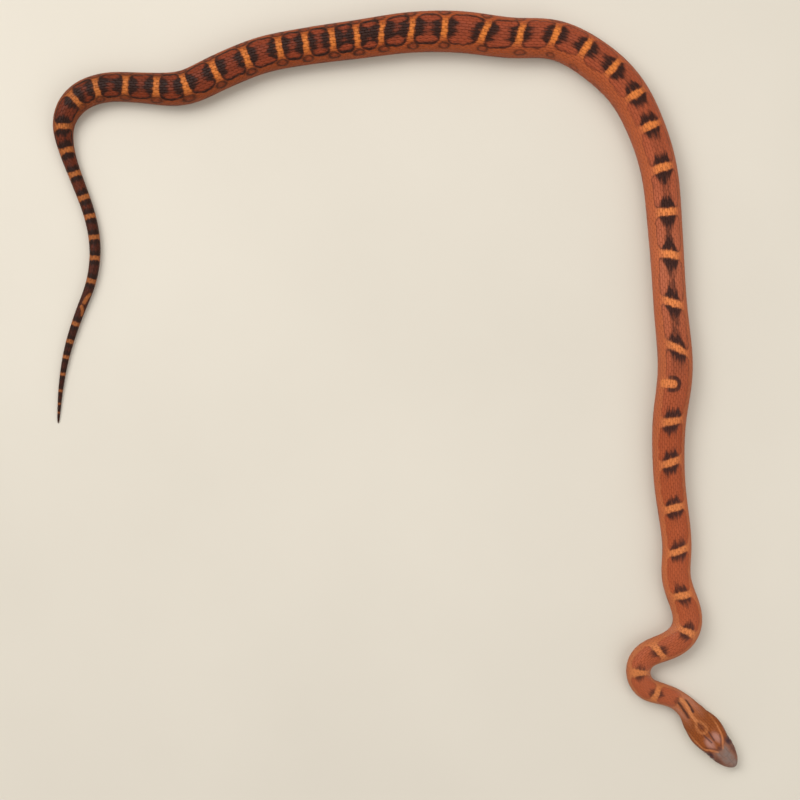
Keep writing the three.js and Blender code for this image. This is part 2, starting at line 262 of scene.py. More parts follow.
HALF_WIDTH = Profile((
    (0, 3.7), (2.5, 4.1), (4.6, 4.8), (6.2, 5.5), (9, 6.45), (12.8, 7), (15.6, 7.4),
    (19.7, 8.35), (25, 9.15), (28, 8.95), (31, 8.25), (36, 6.95), (40, 6), (46, 5.5),
    (52, 5.6), (64, 6.2), (76, 6.6), (88, 7.05), (100, 7.5), (112, 7.85), (148, 7.75),
    (172, 8.1), (208, 8.65), (250, 9.35), (296, 8.9), (328, 9.3), (364, 9.9), (400, 10.5),
    (418, 10.8), (450, 10.45), (496, 10.95), (520, 10.8), (556, 10.2), (592, 9.7), (640, 9.5),
    (656, 9), (676, 8.1), (704, 7.7), (716, 7), (726, 5.8), (738, 4.4), (750, 3.7), (772, 3.3),
    (796, 3), (820, 2.6), (844, 2.2), (868, 1.45), (880, 1), (890, 0.55),
))
BACK_HEIGHT = Profile((
    (0, 5.9), (4, 6.9), (9, 8.3), (13, 9.2), (19, 9.9), (26, 10.5), (33, 10.3), (40, 9.9),
    (46, 9.7), (64, 10.6), (88, 12), (112, 13.4), (148, 13.3), (208, 14.8), (250, 16),
    (296, 15.2), (364, 16.9), (418, 18.4), (450, 17.8), (496, 18.7), (556, 17.4), (592, 16.6),
    (640, 16.2), (676, 13.9), (704, 13.2), (716, 12), (726, 10.2), (738, 8.1), (750, 7),
    (796, 5.7), (844, 4.2), (868, 2.9), (890, 1.2),
))
MOUTH_HEIGHT = Profile(((-1, 2.5), (2, 2.7), (8, 3.2), (14, 3.05), (20, 3.2), (25, 4.3)))


@dataclass
class BodyForm:
    """The animal's shape: sections square to the spine, with arc lengths to place things on it."""

    spine: Spine
    vent: float = 739.0
    jaw_corner: float = 25.0
    widest_at: float = 0.44
    crown_widest_at: float = 0.46
    back_roundness: float = 2.15
    crown_roundness: float = 2.75
    belly_roundness: float = 2.5
    belly_sink: float = 0.06
    snout_tip_height: float = 4.25
    snout_rounding: float = 5.0
    snout_bluntness: float = 2.3
    chin_setback: float = 1.4
    chin_rounding: float = 4.6
    shelf_drop: float = 0.55
    shelf_least: float = 0.03
    lip_swell: float = 0.26
    lip_height: float = 0.85
    lip_fade: float = 5.0
    hollow_share: float = 0.8
    hollow_drop: float = 0.5
    hollow_height: float = 0.6
    boxy_from: float = 14.0
    tip_rounding: float = 3.0
    tip_height_left: float = 0.35
    ventral_edge: float = 0.10
    swells: tuple[HeadSwell, ...] = (
        HeadSwell(12.4, 3.6, 47, 13, 0.42),
        HeadSwell(6.5, 3.6, 52, 10, 0.34),
        HeadSwell(7.8, 3.0, 76, 11, -0.5),
        HeadSwell(24, 5.5, 62, 22, 0.35),
        HeadSwell(25, 6.0, 0, 9, -0.22),
    )
    shares: int = 161
    turns: int = 361
    least: float = 0.02
    fine_to: float = 46.0
    fine_step: float = 0.25

    def __post_init__(self) -> None:
        """Measure the sections: half girth, the angle at each share of it, mouth and belly edge."""
        head = np.arange(0, self.fine_to, self.fine_step)
        body = np.arange(self.fine_to, self.spine.total, 1.0)
        self.at = np.concatenate([head, body, [self.spine.total]])
        angle = np.linspace(0, np.pi, self.turns)
        within = np.clip(self.at, self.least, self.spine.total - self.least)
        across, up = self.section(within[:, None], np.broadcast_to(angle, (len(self.at), self.turns)))
        step = np.hypot(np.diff(across, axis=1), np.diff(up, axis=1))
        arc = np.concatenate([np.zeros((len(self.at), 1)), np.cumsum(step, axis=1)], axis=1)
        self.girth = arc[:, -1]
        share = np.linspace(0, 1, self.shares)
        rows = zip(arc, self.girth)
        self.angles = np.stack([np.interp(share * max(g, SMALL), a, angle) for a, g in rows])
        tip = self.snout_tip_height
        mouth = tip + (MOUTH_HEIGHT(self.at) - tip) * self._rounding(self.at, self.snout_bluntness)
        edge = BACK_HEIGHT(self.at) * self.ventral_edge
        self.mouth_arc = self._arc_where(arc, up, mouth)
        self.edge_arc = self._arc_where(arc, up, edge)

    @staticmethod
    def _arc_where(arc: Array, up: Array, height: Array) -> Array:
        """Arc length from the ridge down to a height.

        Args:
            arc: arc lengths from the ridge, a row for each section.
            up: heights at those arc lengths.
            height: a height for each section.

        Returns:
            An arc length for each section.
        """
        below = np.argmax(up <= height[:, None] + SMALLER, axis=1)
        row = np.arange(len(arc))
        above = np.maximum(below - 1, 0)
        drop = np.maximum(up[row, above] - up[row, below], SMALLER)
        share = np.clip((up[row, above] - height) / drop, 0, 1)
        return lerp(arc[row, above], arc[row, below], share)

    @staticmethod
    def _rounding(s: Array, length: float) -> Array:
        """The round of an end: 0 at its tip and 1 from length on."""
        return np.sqrt(np.maximum(0, 1 - (1 - np.clip(s / length, 0, 1)) ** 2))

    def section(self, s: Array, angle: Array) -> tuple[Array, Array]:
        """The surface as a distance to the snake's left and a height.

        Args:
            s: distances from the snout.
            angle: turns from the ridge of the back, positive on the left, pi under the belly.

        Returns:
            Distances across and heights.
        """
        boxy = 1 - smoothstep(s, self.boxy_from, self.spine.head_length)
        high = BACK_HEIGHT(s)
        widest = high * lerp(self.widest_at, self.crown_widest_at, boxy)
        sine, cosine = np.sin(angle), np.cos(angle)
        upper = cosine > 0
        n = np.where(upper, lerp(self.back_roundness, self.crown_roundness, boxy), self.belly_roundness)
        reach = np.where(upper, high - widest, widest + high * self.belly_sink)
        across = HALF_WIDTH(s) * np.sign(sine) * np.abs(sine) ** (2 / n)
        up = widest + reach * np.sign(cosine) * np.abs(cosine) ** (2 / n)
        turn = np.degrees(np.abs(angle))
        rise = sum(f.rise * bump(s, f.at, f.reach) * bump(turn, f.turn, f.spread) for f in self.swells)
        mouth = MOUTH_HEIGHT(s)
        hollow = self.hollow_share * bump(up, mouth - self.hollow_drop, self.hollow_height)
        lips = bump(up, mouth + self.lip_height, self.lip_height) - hollow
        lips = lips * self.lip_swell * smoothstep(self.jaw_corner + 1 - s, 0, self.lip_fade)
        across = across + sine * rise + np.sign(sine) * lips
        up = up + cosine * rise
        narrow = self._rounding(s, self.snout_rounding)
        blunt = self._rounding(s, self.snout_bluntness)
        chin = self._rounding(s - self.chin_setback, self.chin_rounding)
        tip = self.snout_tip_height
        lip = tip + (mouth - tip) * blunt
        above = tip + (up - tip) * blunt
        below = np.maximum(lip + (np.maximum(up, 0) - lip) * chin, 0)
        shelf = np.clip(1 - (mouth - up) / self.shelf_drop, 0, 1) ** 2
        inward = np.maximum(chin + (1 - chin) * shelf, self.shelf_least)
        is_upper = up >= mouth
        across = across * narrow * np.where(is_upper, 1, inward)
        up = np.where(is_upper, above, below)
        left = self._rounding(self.spine.total - s, self.tip_rounding)
        return across * left, up * lerp(self.tip_height_left, 1, left)

    def _between(self, values: Array, s: Array) -> Array:
        """Measured values at distances s."""
        return np.interp(s, self.at, values)

    def half_girth(self, s: Array) -> Array:
        """Arc length from the ridge to the middle of the belly."""
        return self._between(self.girth, s)

    def belly_edge(self, s: Array) -> Array:
        """Arc length from the ridge to the edge of the belly's plates."""
        return self._between(self.edge_arc, s)

    def mouth_line(self, s: Array) -> Array:
        """Arc length from the ridge to the line of the mouth."""
        return self._between(self.mouth_arc, s)

    def _angle_at(self, s: Array, share: Array) -> Array:
        """The angle at a share of the half girth.

        Args:
            s: distances from the snout.
            share: shares of the half girth, from the ridge down.

        Returns:
            An angle for each place.
        """
        row = np.interp(s, self.at, np.arange(len(self.at)))
        i = np.clip(np.floor(row).astype(int), 0, len(self.at) - 2)
        x = np.clip(share, 0, 1) * (self.shares - 1)
        j = np.clip(np.floor(x).astype(int), 0, self.shares - 2)
        fi, fj = row - i, x - j
        near = lerp(self.angles[i, j], self.angles[i, j + 1], fj)
        far = lerp(self.angles[i + 1, j], self.angles[i + 1, j + 1], fj)
        return lerp(near, far, fi)

    def flat(self, s: Array, u: Array) -> tuple[Array, Array]:
        """Distance to the left and height at an arc length round the body.

        Args:
            s: distances from the snout.
            u: arc lengths from the ridge, positive to the left, past the belly's middle too.

        Returns:
            Distances across and heights.
        """
        girth = np.maximum(self.half_girth(s), SMALL)
        side = np.where(u < 0, -1.0, 1.0)
        arc = np.abs(u)
        beyond = arc > girth
        arc = np.where(beyond, 2 * girth - arc, arc)
        side = np.where(beyond, -side, side)
        return self.section(s, side * self._angle_at(s, arc / girth))

    def point(self, s: Array, u: Array) -> Array:
        """Places on the surface.

        Args:
            s: distances from the snout.
            u: arc lengths from the ridge, as in flat.

        Returns:
            A place for each.
        """
        across, up = self.flat(s, u)
        place, left = self.spine.frame(s)
        ground = place + left * across[..., None]
        return np.concatenate([ground, up[..., None]], -1)

    def normal(self, s: Array, u: Array, reach: float = 0.04) -> Array:
        """Unit vectors out of the surface, with s and u as in flat.

        Args:
            s: distances from the snout.
            u: arc lengths from the ridge.
            reach: half the distance over which the slope is taken.

        Returns:
            A unit vector for each place.
        """
        last = self.spine.total
        along = self.point(np.minimum(s + reach, last), u) - self.point(np.maximum(s - reach, 0), u)
        round_ = self.point(s, u + reach) - self.point(s, u - reach)
        out = np.cross(round_, along)
        return out / np.maximum(np.linalg.norm(out, axis=-1, keepdims=True), SMALLEST)


@dataclass
class Lattice:
    """Where the scales sit: columns along the body and rows round the back."""

    form: BodyForm
    first: float = 12.0
    pitch: Profile = Profile((
        (12, 1.5), (24, 1.9), (40, 2.3), (80, 2.8), (200, 3.2), (500, 3.45), (700, 3.0),
        (739, 2.7), (780, 2.4), (850, 2.1), (890, 1.8),
    ))
    rows: Profile = Profile((
        (14, 12.0), (40, 12.0), (70, 13.2), (160, 14.5), (500, 14.5), (640, 13), (700, 11.5),
        (738, 9), (770, 7.4), (830, 5.4), (870, 3.9), (890, 3.2),
    ))
    step: float = 0.25
    full_row: float = 1.3
    finest: float = 0.3
    tail_room: float = 0.05

    def __post_init__(self) -> None:
        """Count the columns along the body."""
        self.at = np.arange(self.first, self.form.spine.total + self.step, self.step)
        pitch = self.pitch(self.at[:-1] + self.step / 2)
        self.column = np.concatenate([[0], np.cumsum(self.step / pitch)])

    @property
    def last(self) -> float:
        """The column at the tail's end."""
        return float(self.column[-1])

    def along(self, column: Array) -> Array:
        """Distance from the snout at a column, which may be a fraction."""
        return np.interp(column, self.column, self.at)

    def within(self, column: Array) -> Array:
        """Distance from the snout at a column, just short of the tail's end at most."""
        return np.minimum(self.along(column), self.form.spine.total - self.tail_room)

    def column_at(self, s: float) -> float:
        """The column at a distance from the snout."""
        return float(np.interp(s, self.at, self.column))

    def row_width(self, s: Array) -> Array:
        """Arc length between two rows."""
        return self.form.belly_edge(s) / self.rows(s)

    def fineness(self, s: Array) -> Array:
        """Size of the scales against full-sized ones."""
        return np.clip(self.row_width(s) / self.full_row, self.finest, 1.0)


@dataclass
class Marks:
    """How much of each marking lies at each place, from 0 to 1."""

    bar: Array
    saddle: Array
    black: Array
    pale: Array
    # Snout grey: partly its own grey-brown, partly a painted highlight.
    snout: Array
    # Pinkish share: a painted highlight on the crown, with the neck's lilac tint and the pale creases of its
    # bends.
    sheen: Array
    rear: Array
    belly: Array
    head: Array

    def packed(self) -> dict[str, Array]:
        """The markings in threes, as the materials read them."""
        return {
            "pattern": np.stack([self.bar, self.saddle, self.black], -1),
            "face": np.stack([self.pale, self.snout, self.sheen], -1),
            "place": np.stack([self.rear, self.belly, self.head], -1),
        }


@dataclass(frozen=True)
class Bar:
    """An orange bar across the back: its place on the ridge and its lean towards the tail on the left."""

    at: float
    lean: float = 0.0


@dataclass(frozen=True)
class Spot:
    """A bar cut short: the line along its middle, its half width and how far black edges it."""

    line: Line
    half: float
    edging: float


@dataclass(frozen=True)
class Stroke:
    """A mark on the head drawn along lines, with the half widths of its core and of its soft edge."""

    lines: tuple[Line, ...]
    core: float
    edge: float
    share: float = 1.0

    def at(self, t: Array, b: Array) -> Array:
        """How much of the mark lies at each place."""
        far = np.minimum.reduce([to_line(line, t, b) for line in self.lines])
        return self.share * (1 - smoothstep(far, self.core, self.edge))


@dataclass(frozen=True)
class Blot:
    """An oval mark on the head: its middle and half sizes, and where its soft edge starts and ends."""

    along: float
    across: float
    length: float
    width: float
    core: float
    edge: float
    share: float = 1.0

    def at(self, t: Array, b: Array) -> Array:
        """How much of the mark lies at each place."""
        far = np.hypot((t - self.along) / self.length, (b - self.across) / self.width)
        return self.share * (1 - smoothstep(far, self.core, self.edge))


@dataclass(frozen=True)
class CheekMark:
    """A dark mark on both cheeks: its place and reach, and where it starts outwards and upwards."""

    along: float
    reach: float
    middle: float
    across: Range
    height: Range
    share: float

    def at(self, t: Array, b: Array, up: Array) -> Array:
        """How much of the mark lies at each place, with up its height over the floor."""
        outwards = smoothstep(np.abs(b - self.middle), *self.across)
        return self.share * bump(t, self.along, self.reach) * outwards * smoothstep(up, *self.height)


@dataclass(frozen=True)
class FaceMarkings:
    """The markings of head and nape, by distance from the snout and arc length to the right."""

    nape: Range = (30.0, 46.0)
    crown_height: Range = (4.6, 6.0)
    tan: Stroke = Stroke((
        ((12.9, -1.1), (14.6, -2.3), (16.7, -4.0), (18.7, -5.2), (21.7, -6.1), (26.7, -7.3), (31.5, -7.9)),
        ((12.9, 2.2), (14.6, 3.5), (16.7, 5.2), (17.9, 6.7), (19.6, 7.7), (25, 8.3), (30.5, 8.6)),
    ), 0.1, 0.85)
    tan_rise: Range = (13.0, 17.0)
    tan_front: Range = (0.45, 0.7)
    tan_fall: Range = (21.0, 31.0)
    tan_rear: float = 0.45
    fork: Stroke = Stroke((
        ((25.4, 0.8), (25.8, -0.4), (27.0, -1.5), (29.2, -1.7), (31.7, -0.7), (33.7, 0.4)),
        ((25.4, 1.0), (26.3, 2.4), (28.3, 3.3), (30.8, 2.6), (33.3, 0.8)),
    ), 0.3, 1.2, 0.5)
    nape_stripe: Stroke = Stroke((
        ((33.3, 0.6), (36.7, 1.0), (40, 0.0), (43.3, -1.1), (47, -1.9)),
    ), 0.5, 1.15, 0.95)
    spear: Stroke = Stroke((
        ((13.4, -0.3), (15.3, -1.7), (17.3, -3.2), (19.4, -4.3)),
        ((13.4, 1.4), (15.3, 2.7), (17.2, 4.3), (18.7, 5.9)),
    ), 0.1, 0.9, 0.45)
    short_lines: Stroke = Stroke((
        ((19.4, -0.2), (22.0, -0.5), (24.6, -0.8)),
        ((19.2, 1.6), (22.0, 2.0), (25.0, 2.4)),
    ), 0.05, 0.7, 0.75)
    wedge_right: Stroke = Stroke((((37.2, 2.9), (42.0, 2.1), (47.0, 0.5)),), 0.2, 1.25, 0.95)
    wedge_left: Stroke = Stroke((((38.2, -1.1), (41.0, -1.7), (44.4, -2.7)),), 0.3, 1.2)
    wedge_share: float = 0.9
    arrow: Blot = Blot(14.0, 0.4, 1.6, 1.1, 0.4, 1.3, 0.6)
    nape_oval: Blot = Blot(29.6, 0.6, 3.2, 1.2, 0.5, 1.1, 0.35)
    # Pinkish patches on the crown: partly the plates' own lilac, partly a painted highlight.
    crown_tint_and_highlight_right: Blot = Blot(19.2, 2.8, 4.8, 2.7, 0.2, 1.15)
    crown_tint_and_highlight_left: Blot = Blot(19.8, -2.2, 4.4, 2.5, 0.2, 1.15)
    crown_tint_and_highlight_mean: float = 0.8
    crown_tint_and_highlight_swing: float = 0.25
    mask: CheekMark = CheekMark(13.9, 2.6, 0.4, (4.0, 5.6), (2.6, 4.0), 0.95)
    lore: CheekMark = CheekMark(8.5, 3.8, 0.0, (3.0, 5.2), (2.8, 4.0), 0.5)
    stripe_heights: Range = (5.4, 4.6)
    stripe_slopes: Range = (15.0, 26.0)
    stripe_edge: Range = (0.4, 1.2)
    stripe_outwards: Range = (5.0, 6.0)
    stripe_starts: Range = (13.0, 15.0)
    stripe_ends: Range = (25.0, 28.0)
    stripe_share: float = 0.75
    middle: float = 0.4
    snout_lean: float = 0.5
    snout_ends: Range = (11.0, 14.2)
    snout_side: float = 0.42
    snout_sides: Range = (2.0, 4.6)
    snout_middle: float = 0.3
    snout_mean: float = 0.84
    snout_swing: float = 0.16
    neck_share: float = 0.4
    neck_at: Range = (42.0, 7.0)
    neck_across: Range = (4.6, 1.6)
    neck_middle: float = 0.2

    def at(self, t: Array, b: Array, up: Array) -> tuple[Array, Array, Array, Array, Array]:
        """The head's markings.

        Args:
            t: distances from the snout.
            b: arc lengths from the ridge to the snake's right.
            up: heights over the floor.

        Returns:
            The shares of pale marks, dark marks, grey snout (partly a painted highlight), the pinkish share
            (the crown's patches, partly a painted highlight, with the neck's lilac tint) and head.
        """
        head = 1 - smoothstep(t, *self.nape)
        top = smoothstep(up, *self.crown_height)
        tan = self.tan.at(t, b) * lerp(*self.tan_front, smoothstep(t, *self.tan_rise))
        tan = tan * lerp(1.0, self.tan_rear, smoothstep(t, *self.tan_fall))
        pale = np.maximum.reduce([tan, self.fork.at(t, b), self.nape_stripe.at(t, b)]) * top
        wedges = np.maximum(self.wedge_right.at(t, b), self.wedge_left.at(t, b)) * self.wedge_share
        crown_lines = np.maximum.reduce([
            self.spear.at(t, b), self.short_lines.at(t, b), self.nape_oval.at(t, b), wedges,
        ])
        dark = np.maximum.reduce([
            crown_lines * top, self.arrow.at(t, b), self.mask.at(t, b, up), self.lore.at(t, b, up),
            self._eye_stripe(t, b, up),
        ])
        # The crown's pinkish patches: partly their own lilac, partly a painted highlight.
        crown = np.maximum(self.crown_tint_and_highlight_right.at(t, b), self.crown_tint_and_highlight_left.at(t, b))
        crown = crown * (self.crown_tint_and_highlight_mean + self.crown_tint_and_highlight_swing * wander(t / 4.0, b / 0.6 + 17, SEED + 12))
        neck = self.neck_share * bump(t, *self.neck_at)
        neck = neck * bump(np.abs(b - self.neck_middle), *self.neck_across)
        return pale, dark * (1 - pale), self._snout_grey_and_highlight(t, b), np.maximum(crown * top, neck), head

    def _eye_stripe(self, t: Array, b: Array, up: Array) -> Array:
        """The dark stripe from each eye to the corner of the jaw.

        Args:
            t: distances from the snout.
            b: arc lengths from the ridge to the snake's right.
            up: heights over the floor.

        Returns:
            How much of it lies at each place.
        """
        height = lerp(*self.stripe_heights, smoothstep(t, *self.stripe_slopes))
        stripe = 1 - smoothstep(np.abs(up - height), *self.stripe_edge)
        stripe = stripe * smoothstep(np.abs(b), *self.stripe_outwards) * smoothstep(t, *self.stripe_starts)
        return self.stripe_share * stripe * (1 - smoothstep(t, *self.stripe_ends))

    def _snout_grey_and_highlight(self, t: Array, b: Array) -> Array:
        """The snout's clouded grey: partly its own grey-brown, partly a painted highlight, greyest along the
        middle.

        Args:
            t: distances from the snout.
            b: arc lengths from the ridge to the snake's right.

        Returns:
            How grey each place is.
        """
        cloud = wander(t / 1.9 + 3, b / 1.5 + 7, SEED + 11)
        grey = 1 - smoothstep(t - self.snout_lean * np.abs(b - self.middle), *self.snout_ends)
        outwards = smoothstep(np.abs(b - self.snout_middle), *self.snout_sides)
        return grey * lerp(1.0, self.snout_side, outwards) * (self.snout_mean + self.snout_swing * cloud)


@dataclass
class Markings:
    """The animal's pattern, by distance from the snout and arc length round the body."""

    form: BodyForm
    bars: tuple[Bar, ...] = (
        Bar(59.7, -0.1), Bar(75.2), Bar(91.5, 0.33), Bar(110.2), Bar(130.2, -0.15), Bar(154.0, 0.38),
        Bar(176.9, 0.1), Bar(201.0, 0.28), Bar(222.7, 0.28), Bar(261.5, -0.6), Bar(285.6, -0.35),
        Bar(311.0, -0.2), Bar(333.5), Bar(356.6, 0.1), Bar(379.5), Bar(397.5), Bar(415.5),
        Bar(433.2), Bar(450.5, -0.2), Bar(468.7, -0.25), Bar(487.5, -0.3), Bar(508.7, -0.1),
        Bar(525.9, -0.2), Bar(541.9, -0.25), Bar(555.0), Bar(568.0), Bar(582.2), Bar(596.2),
        Bar(614.5), Bar(632.5), Bar(649.7, 0.1), Bar(665.2), Bar(681.6), Bar(697.1), Bar(710.4),
        Bar(726.9, 0.1), Bar(739.6), Bar(752.7), Bar(766.0), Bar(776.5), Bar(787.7), Bar(798.7),
        Bar(811.0), Bar(835.4), Bar(845.1), Bar(853.9), Bar(863.1), Bar(872.2), Bar(879.0), Bar(884.0),
    )
    spots: tuple[Spot, ...] = (
        Spot(((242.3, -7.5), (242.4, -1.9)), 2.3, 2.6),
        Spot(((818.2, -2.3), (820.4, -1.2), (823.0, -0.9)), 1.15, 0.4),
        Spot(((825.6, -0.2), (827.6, -1.8), (829.6, -2.4)), 1.05, 0.4),
    )
    first_saddle: float = 47.0
    widest_lean: float = 9.0
    bar_half: Profile = Profile((
        (50, 1.5), (110, 1.7), (200, 1.95), (350, 2.1), (400, 1.8), (480, 1.75), (545, 1.5), (620, 1.65),
        (740, 1.4), (800, 1.25), (850, 0.95), (890, 0.5),
    ))
    pinch: Profile = Profile(((60, 0.1), (120, 0.3), (430, 0.3), (480, 0.05), (890, 0)))
    saddle_half: Profile = Profile((
        (50, 5.2), (90, 5.7), (150, 6.3), (210, 6.6), (320, 6.9), (360, 7.5), (440, 8.1), (480, 8.7),
        (520, 9.1), (560, 8.8), (640, 8.3), (674, 7.5), (700, 6.7), (733, 5.9), (770, 5.4), (800, 4.9),
        (850, 3.6), (890, 1.9),
    ))
    drift: Profile = Profile((
        (50, 0), (200, 0), (260, 0.4), (330, 0.7), (390, 1.4), (440, 1.3), (465, 0.5), (485, -0.5),
        (520, 0), (640, 0), (720, -0.4), (770, -0.8), (890, -0.4),
    ))
    corner: Profile = Profile(((50, 5.0), (340, 5.5), (480, 4.0), (720, 3.6), (890, 4.0)))
    band: Profile = Profile((
        (40, 0.1), (240, 0.25), (440, 0.5), (480, 0.9), (600, 1.2), (740, 1.7), (890, 1.3),
    ))
    streak: Profile = Profile((
        (40, 1.8), (90, 2.3), (110, 3.2), (177, 4.0), (222, 4.4), (261, 5.0), (300, 7.0), (335, 6.8),
        (357, 5.0), (380, 4.6), (415, 4.9), (460, 3.9), (500, 4.2), (526, 5.2), (545, 6.0), (565, 4.2),
        (600, 3.8), (650, 3.6), (690, 4.2), (715, 2.6), (740, 2.0), (890, 1.2),
    ))
    patch_half: Profile = Profile((
        (40, 2.2), (110, 3.2), (130, 4.1), (177, 4.8), (255, 5.1), (270, 4.6), (335, 4.6), (360, 5.1),
        (400, 5.3), (500, 5.6), (640, 5.2), (720, 4.7), (890, 3.0),
    ))
    taper: Profile = Profile((
        (40, 0.25), (250, 0.3), (268, 0.55), (335, 0.55), (356, 0.3), (480, 0.15), (890, 0.1),
    ))
    dusk: Profile = Profile((
        (40, 0), (240, 0.05), (262, 0.68), (338, 0.72), (356, 0.3), (500, 0.2), (526, 0.55), (560, 0.35),
        (640, 0.25), (690, 0.5), (715, 0.35), (740, 0.4), (890, 0.5),
    ))
    outline: Profile = Profile((
        (40, 0.3), (240, 0.3), (345, 0.4), (420, 0.45), (455, 0.7), (480, 0.85), (560, 0.95),
        (700, 0.9), (890, 0.7),
    ))
    outline_share: Profile = Profile((
        (40, 0.12), (230, 0.25), (262, 0.7), (345, 0.65), (380, 0.4), (440, 0.6), (480, 0.95), (890, 1.0),
    ))
    feather: Profile = Profile(((50, 1.8), (200, 2.0), (420, 1.9), (480, 1.4), (600, 1.2), (890, 1.0)))
    patch_share: Profile = Profile(((50, 0.8), (150, 0.9), (300, 0.96), (480, 0.98), (700, 1.0), (890, 1.0)))
    oval_row: Profile = Profile(((100, 0.78), (400, 0.72), (460, 0.47), (520, 0.43), (690, 0.45), (740, 0.5)))
    oval_share: Profile = Profile(((60, 0), (120, 0.35), (400, 0.4), (490, 1.0), (690, 0.9), (745, 0)))
    face: FaceMarkings = FaceMarkings()
    trunk: Range = (46.0, 49.0)
    lead_in: float = 1.5
    lead_out: float = 6.0
    pinch_zone: Range = (2.5, 7.0)
    ripple: float = 0.3
    least_half: float = 0.6
    saddle_soft: float = 0.22
    saddle_swing: float = 0.07
    patch_edge: Range = (0.6, 1.15)
    patch_swing: float = 0.15
    comb_mean: float = 0.95
    comb_swing: float = 0.45
    dusk_mean: float = 0.75
    dusk_swing: float = 0.6
    outline_edge: Range = (0.7, 1.5)
    outline_swing: float = 0.35
    tail_zone: Range = (735.0, 790.0)
    tail_mean: float = 0.58
    tail_swing: float = 0.32
    bar_edge: Range = (2.2, 3.8)
    bar_sides: Range = (1.5, 8.0)
    spot_soft: float = 0.3
    edging_share: float = 0.9
    edging_core: float = 0.7
    edging_side: Range = (-5.5, -3.5)
    upper_oval: Range = (2.9, 2.3)
    lower_oval: Range = (2.6, 1.9)
    lower_share: float = 0.7
    lower_drop: float = 0.62
    oval_swing: float = 0.14
    oval_edge: Range = (0.7, 0.9)
    oval_fill: float = 0.55
    ring_at: float = 0.92
    ring_widths: Range = (0.27, 0.3)
    ring_share: float = 0.85
    belly_from: Range = (0.97, 1.06)
    belly_starts: Range = (8.0, 20.0)
    lip_share: float = 0.5
    lip_edge: Range = (0.84, 0.97)
    lip_starts: Range = (6.0, 10.0)
    lip_end: Range = (27.0, 4.0)
    jaw_edge: Range = (0.0, 1.8)
    jaw_starts: Range = (1.3, 1.7)
    jaw_end: Range = (36.0, 6.0)
    least_mouth: float = 0.001
    check_length: float = 6.4
    check_least: float = -0.05
    check_starts: Range = (60.0, 120.0)
    check_share: float = 0.9
    tail_stripe: float = 0.8
    fold_edge: Range = (0.55, 1.0)
    fold_share: float = 0.75
    right_fold: Range = (106.0, 6.0)
    right_fold_edge: Range = (3.0, 7.0)
    left_fold: Range = (76.0, 9.0)
    left_fold_edge: Range = (2.0, 6.0)

    def at(self, s: Array, u: Array) -> Marks:
        """Every marking at the given places.

        Args:
            s: distances from the snout.
            u: arc lengths from the ridge, positive to the left, past the belly's middle too.

        Returns:
            The share of each marking.
        """
        girth = np.maximum(self.form.half_girth(s), SMALL)
        side = np.where(np.abs(u) > girth, -np.sign(u), np.sign(u))
        arc = np.where(np.abs(u) > girth, 2 * girth - np.abs(u), np.abs(u))
        u = side * arc
        up = self.form.flat(s, u)[1]
        v = arc / np.maximum(self.form.belly_edge(s), SMALL)
        trunk = smoothstep(s, *self.trunk)
        bar, saddle, black = (mark * trunk for mark in self._back(s, u, v))
        pale, face_black, snout, sheen, head = self.face.at(s, -u, up)
        # Pale creases join the crown's painted highlight and the neck's tint in one pinkish share.
        sheen = np.maximum(sheen, self._folds(s, u))
        belly = smoothstep(v, *self.belly_from) * smoothstep(s, *self.belly_starts)
        belly = np.maximum(belly, self._lips(s, arc))
        black = lerp(np.maximum(black, face_black), self._belly_checks(s, u), belly)
        rear = np.clip(s / self.form.spine.total, 0, 1)
        return Marks(bar, saddle, black, pale, snout, sheen, rear, belly, head)

    def _lips(self, s: Array, arc: Array) -> Array:
        """The pale of the upper lips' edge and of the lower jaw.

        Args:
            s: distances from the snout.
            arc: arc lengths from the ridge.

        Returns:
            How pale each place is.
        """
        mouth = np.maximum(self.form.mouth_line(s), self.least_mouth)
        lip = self.lip_share * smoothstep(arc / mouth, *self.lip_edge) * smoothstep(s, *self.lip_starts)
        lip = lip * smoothstep(self.lip_end[0] - s, 0, self.lip_end[1])
        jaw = smoothstep(arc - mouth, *self.jaw_edge) * smoothstep(s, *self.jaw_starts)
        return np.maximum(lip, jaw * smoothstep(self.jaw_end[0] - s, 0, self.jaw_end[1]))

    @staticmethod
    def _gap(ends: Array, s: Array) -> Array:
        """Which gap between two bars each place lies in."""
        return np.clip(np.searchsorted(ends, s, side="right") - 1, 0, len(ends) - 2)

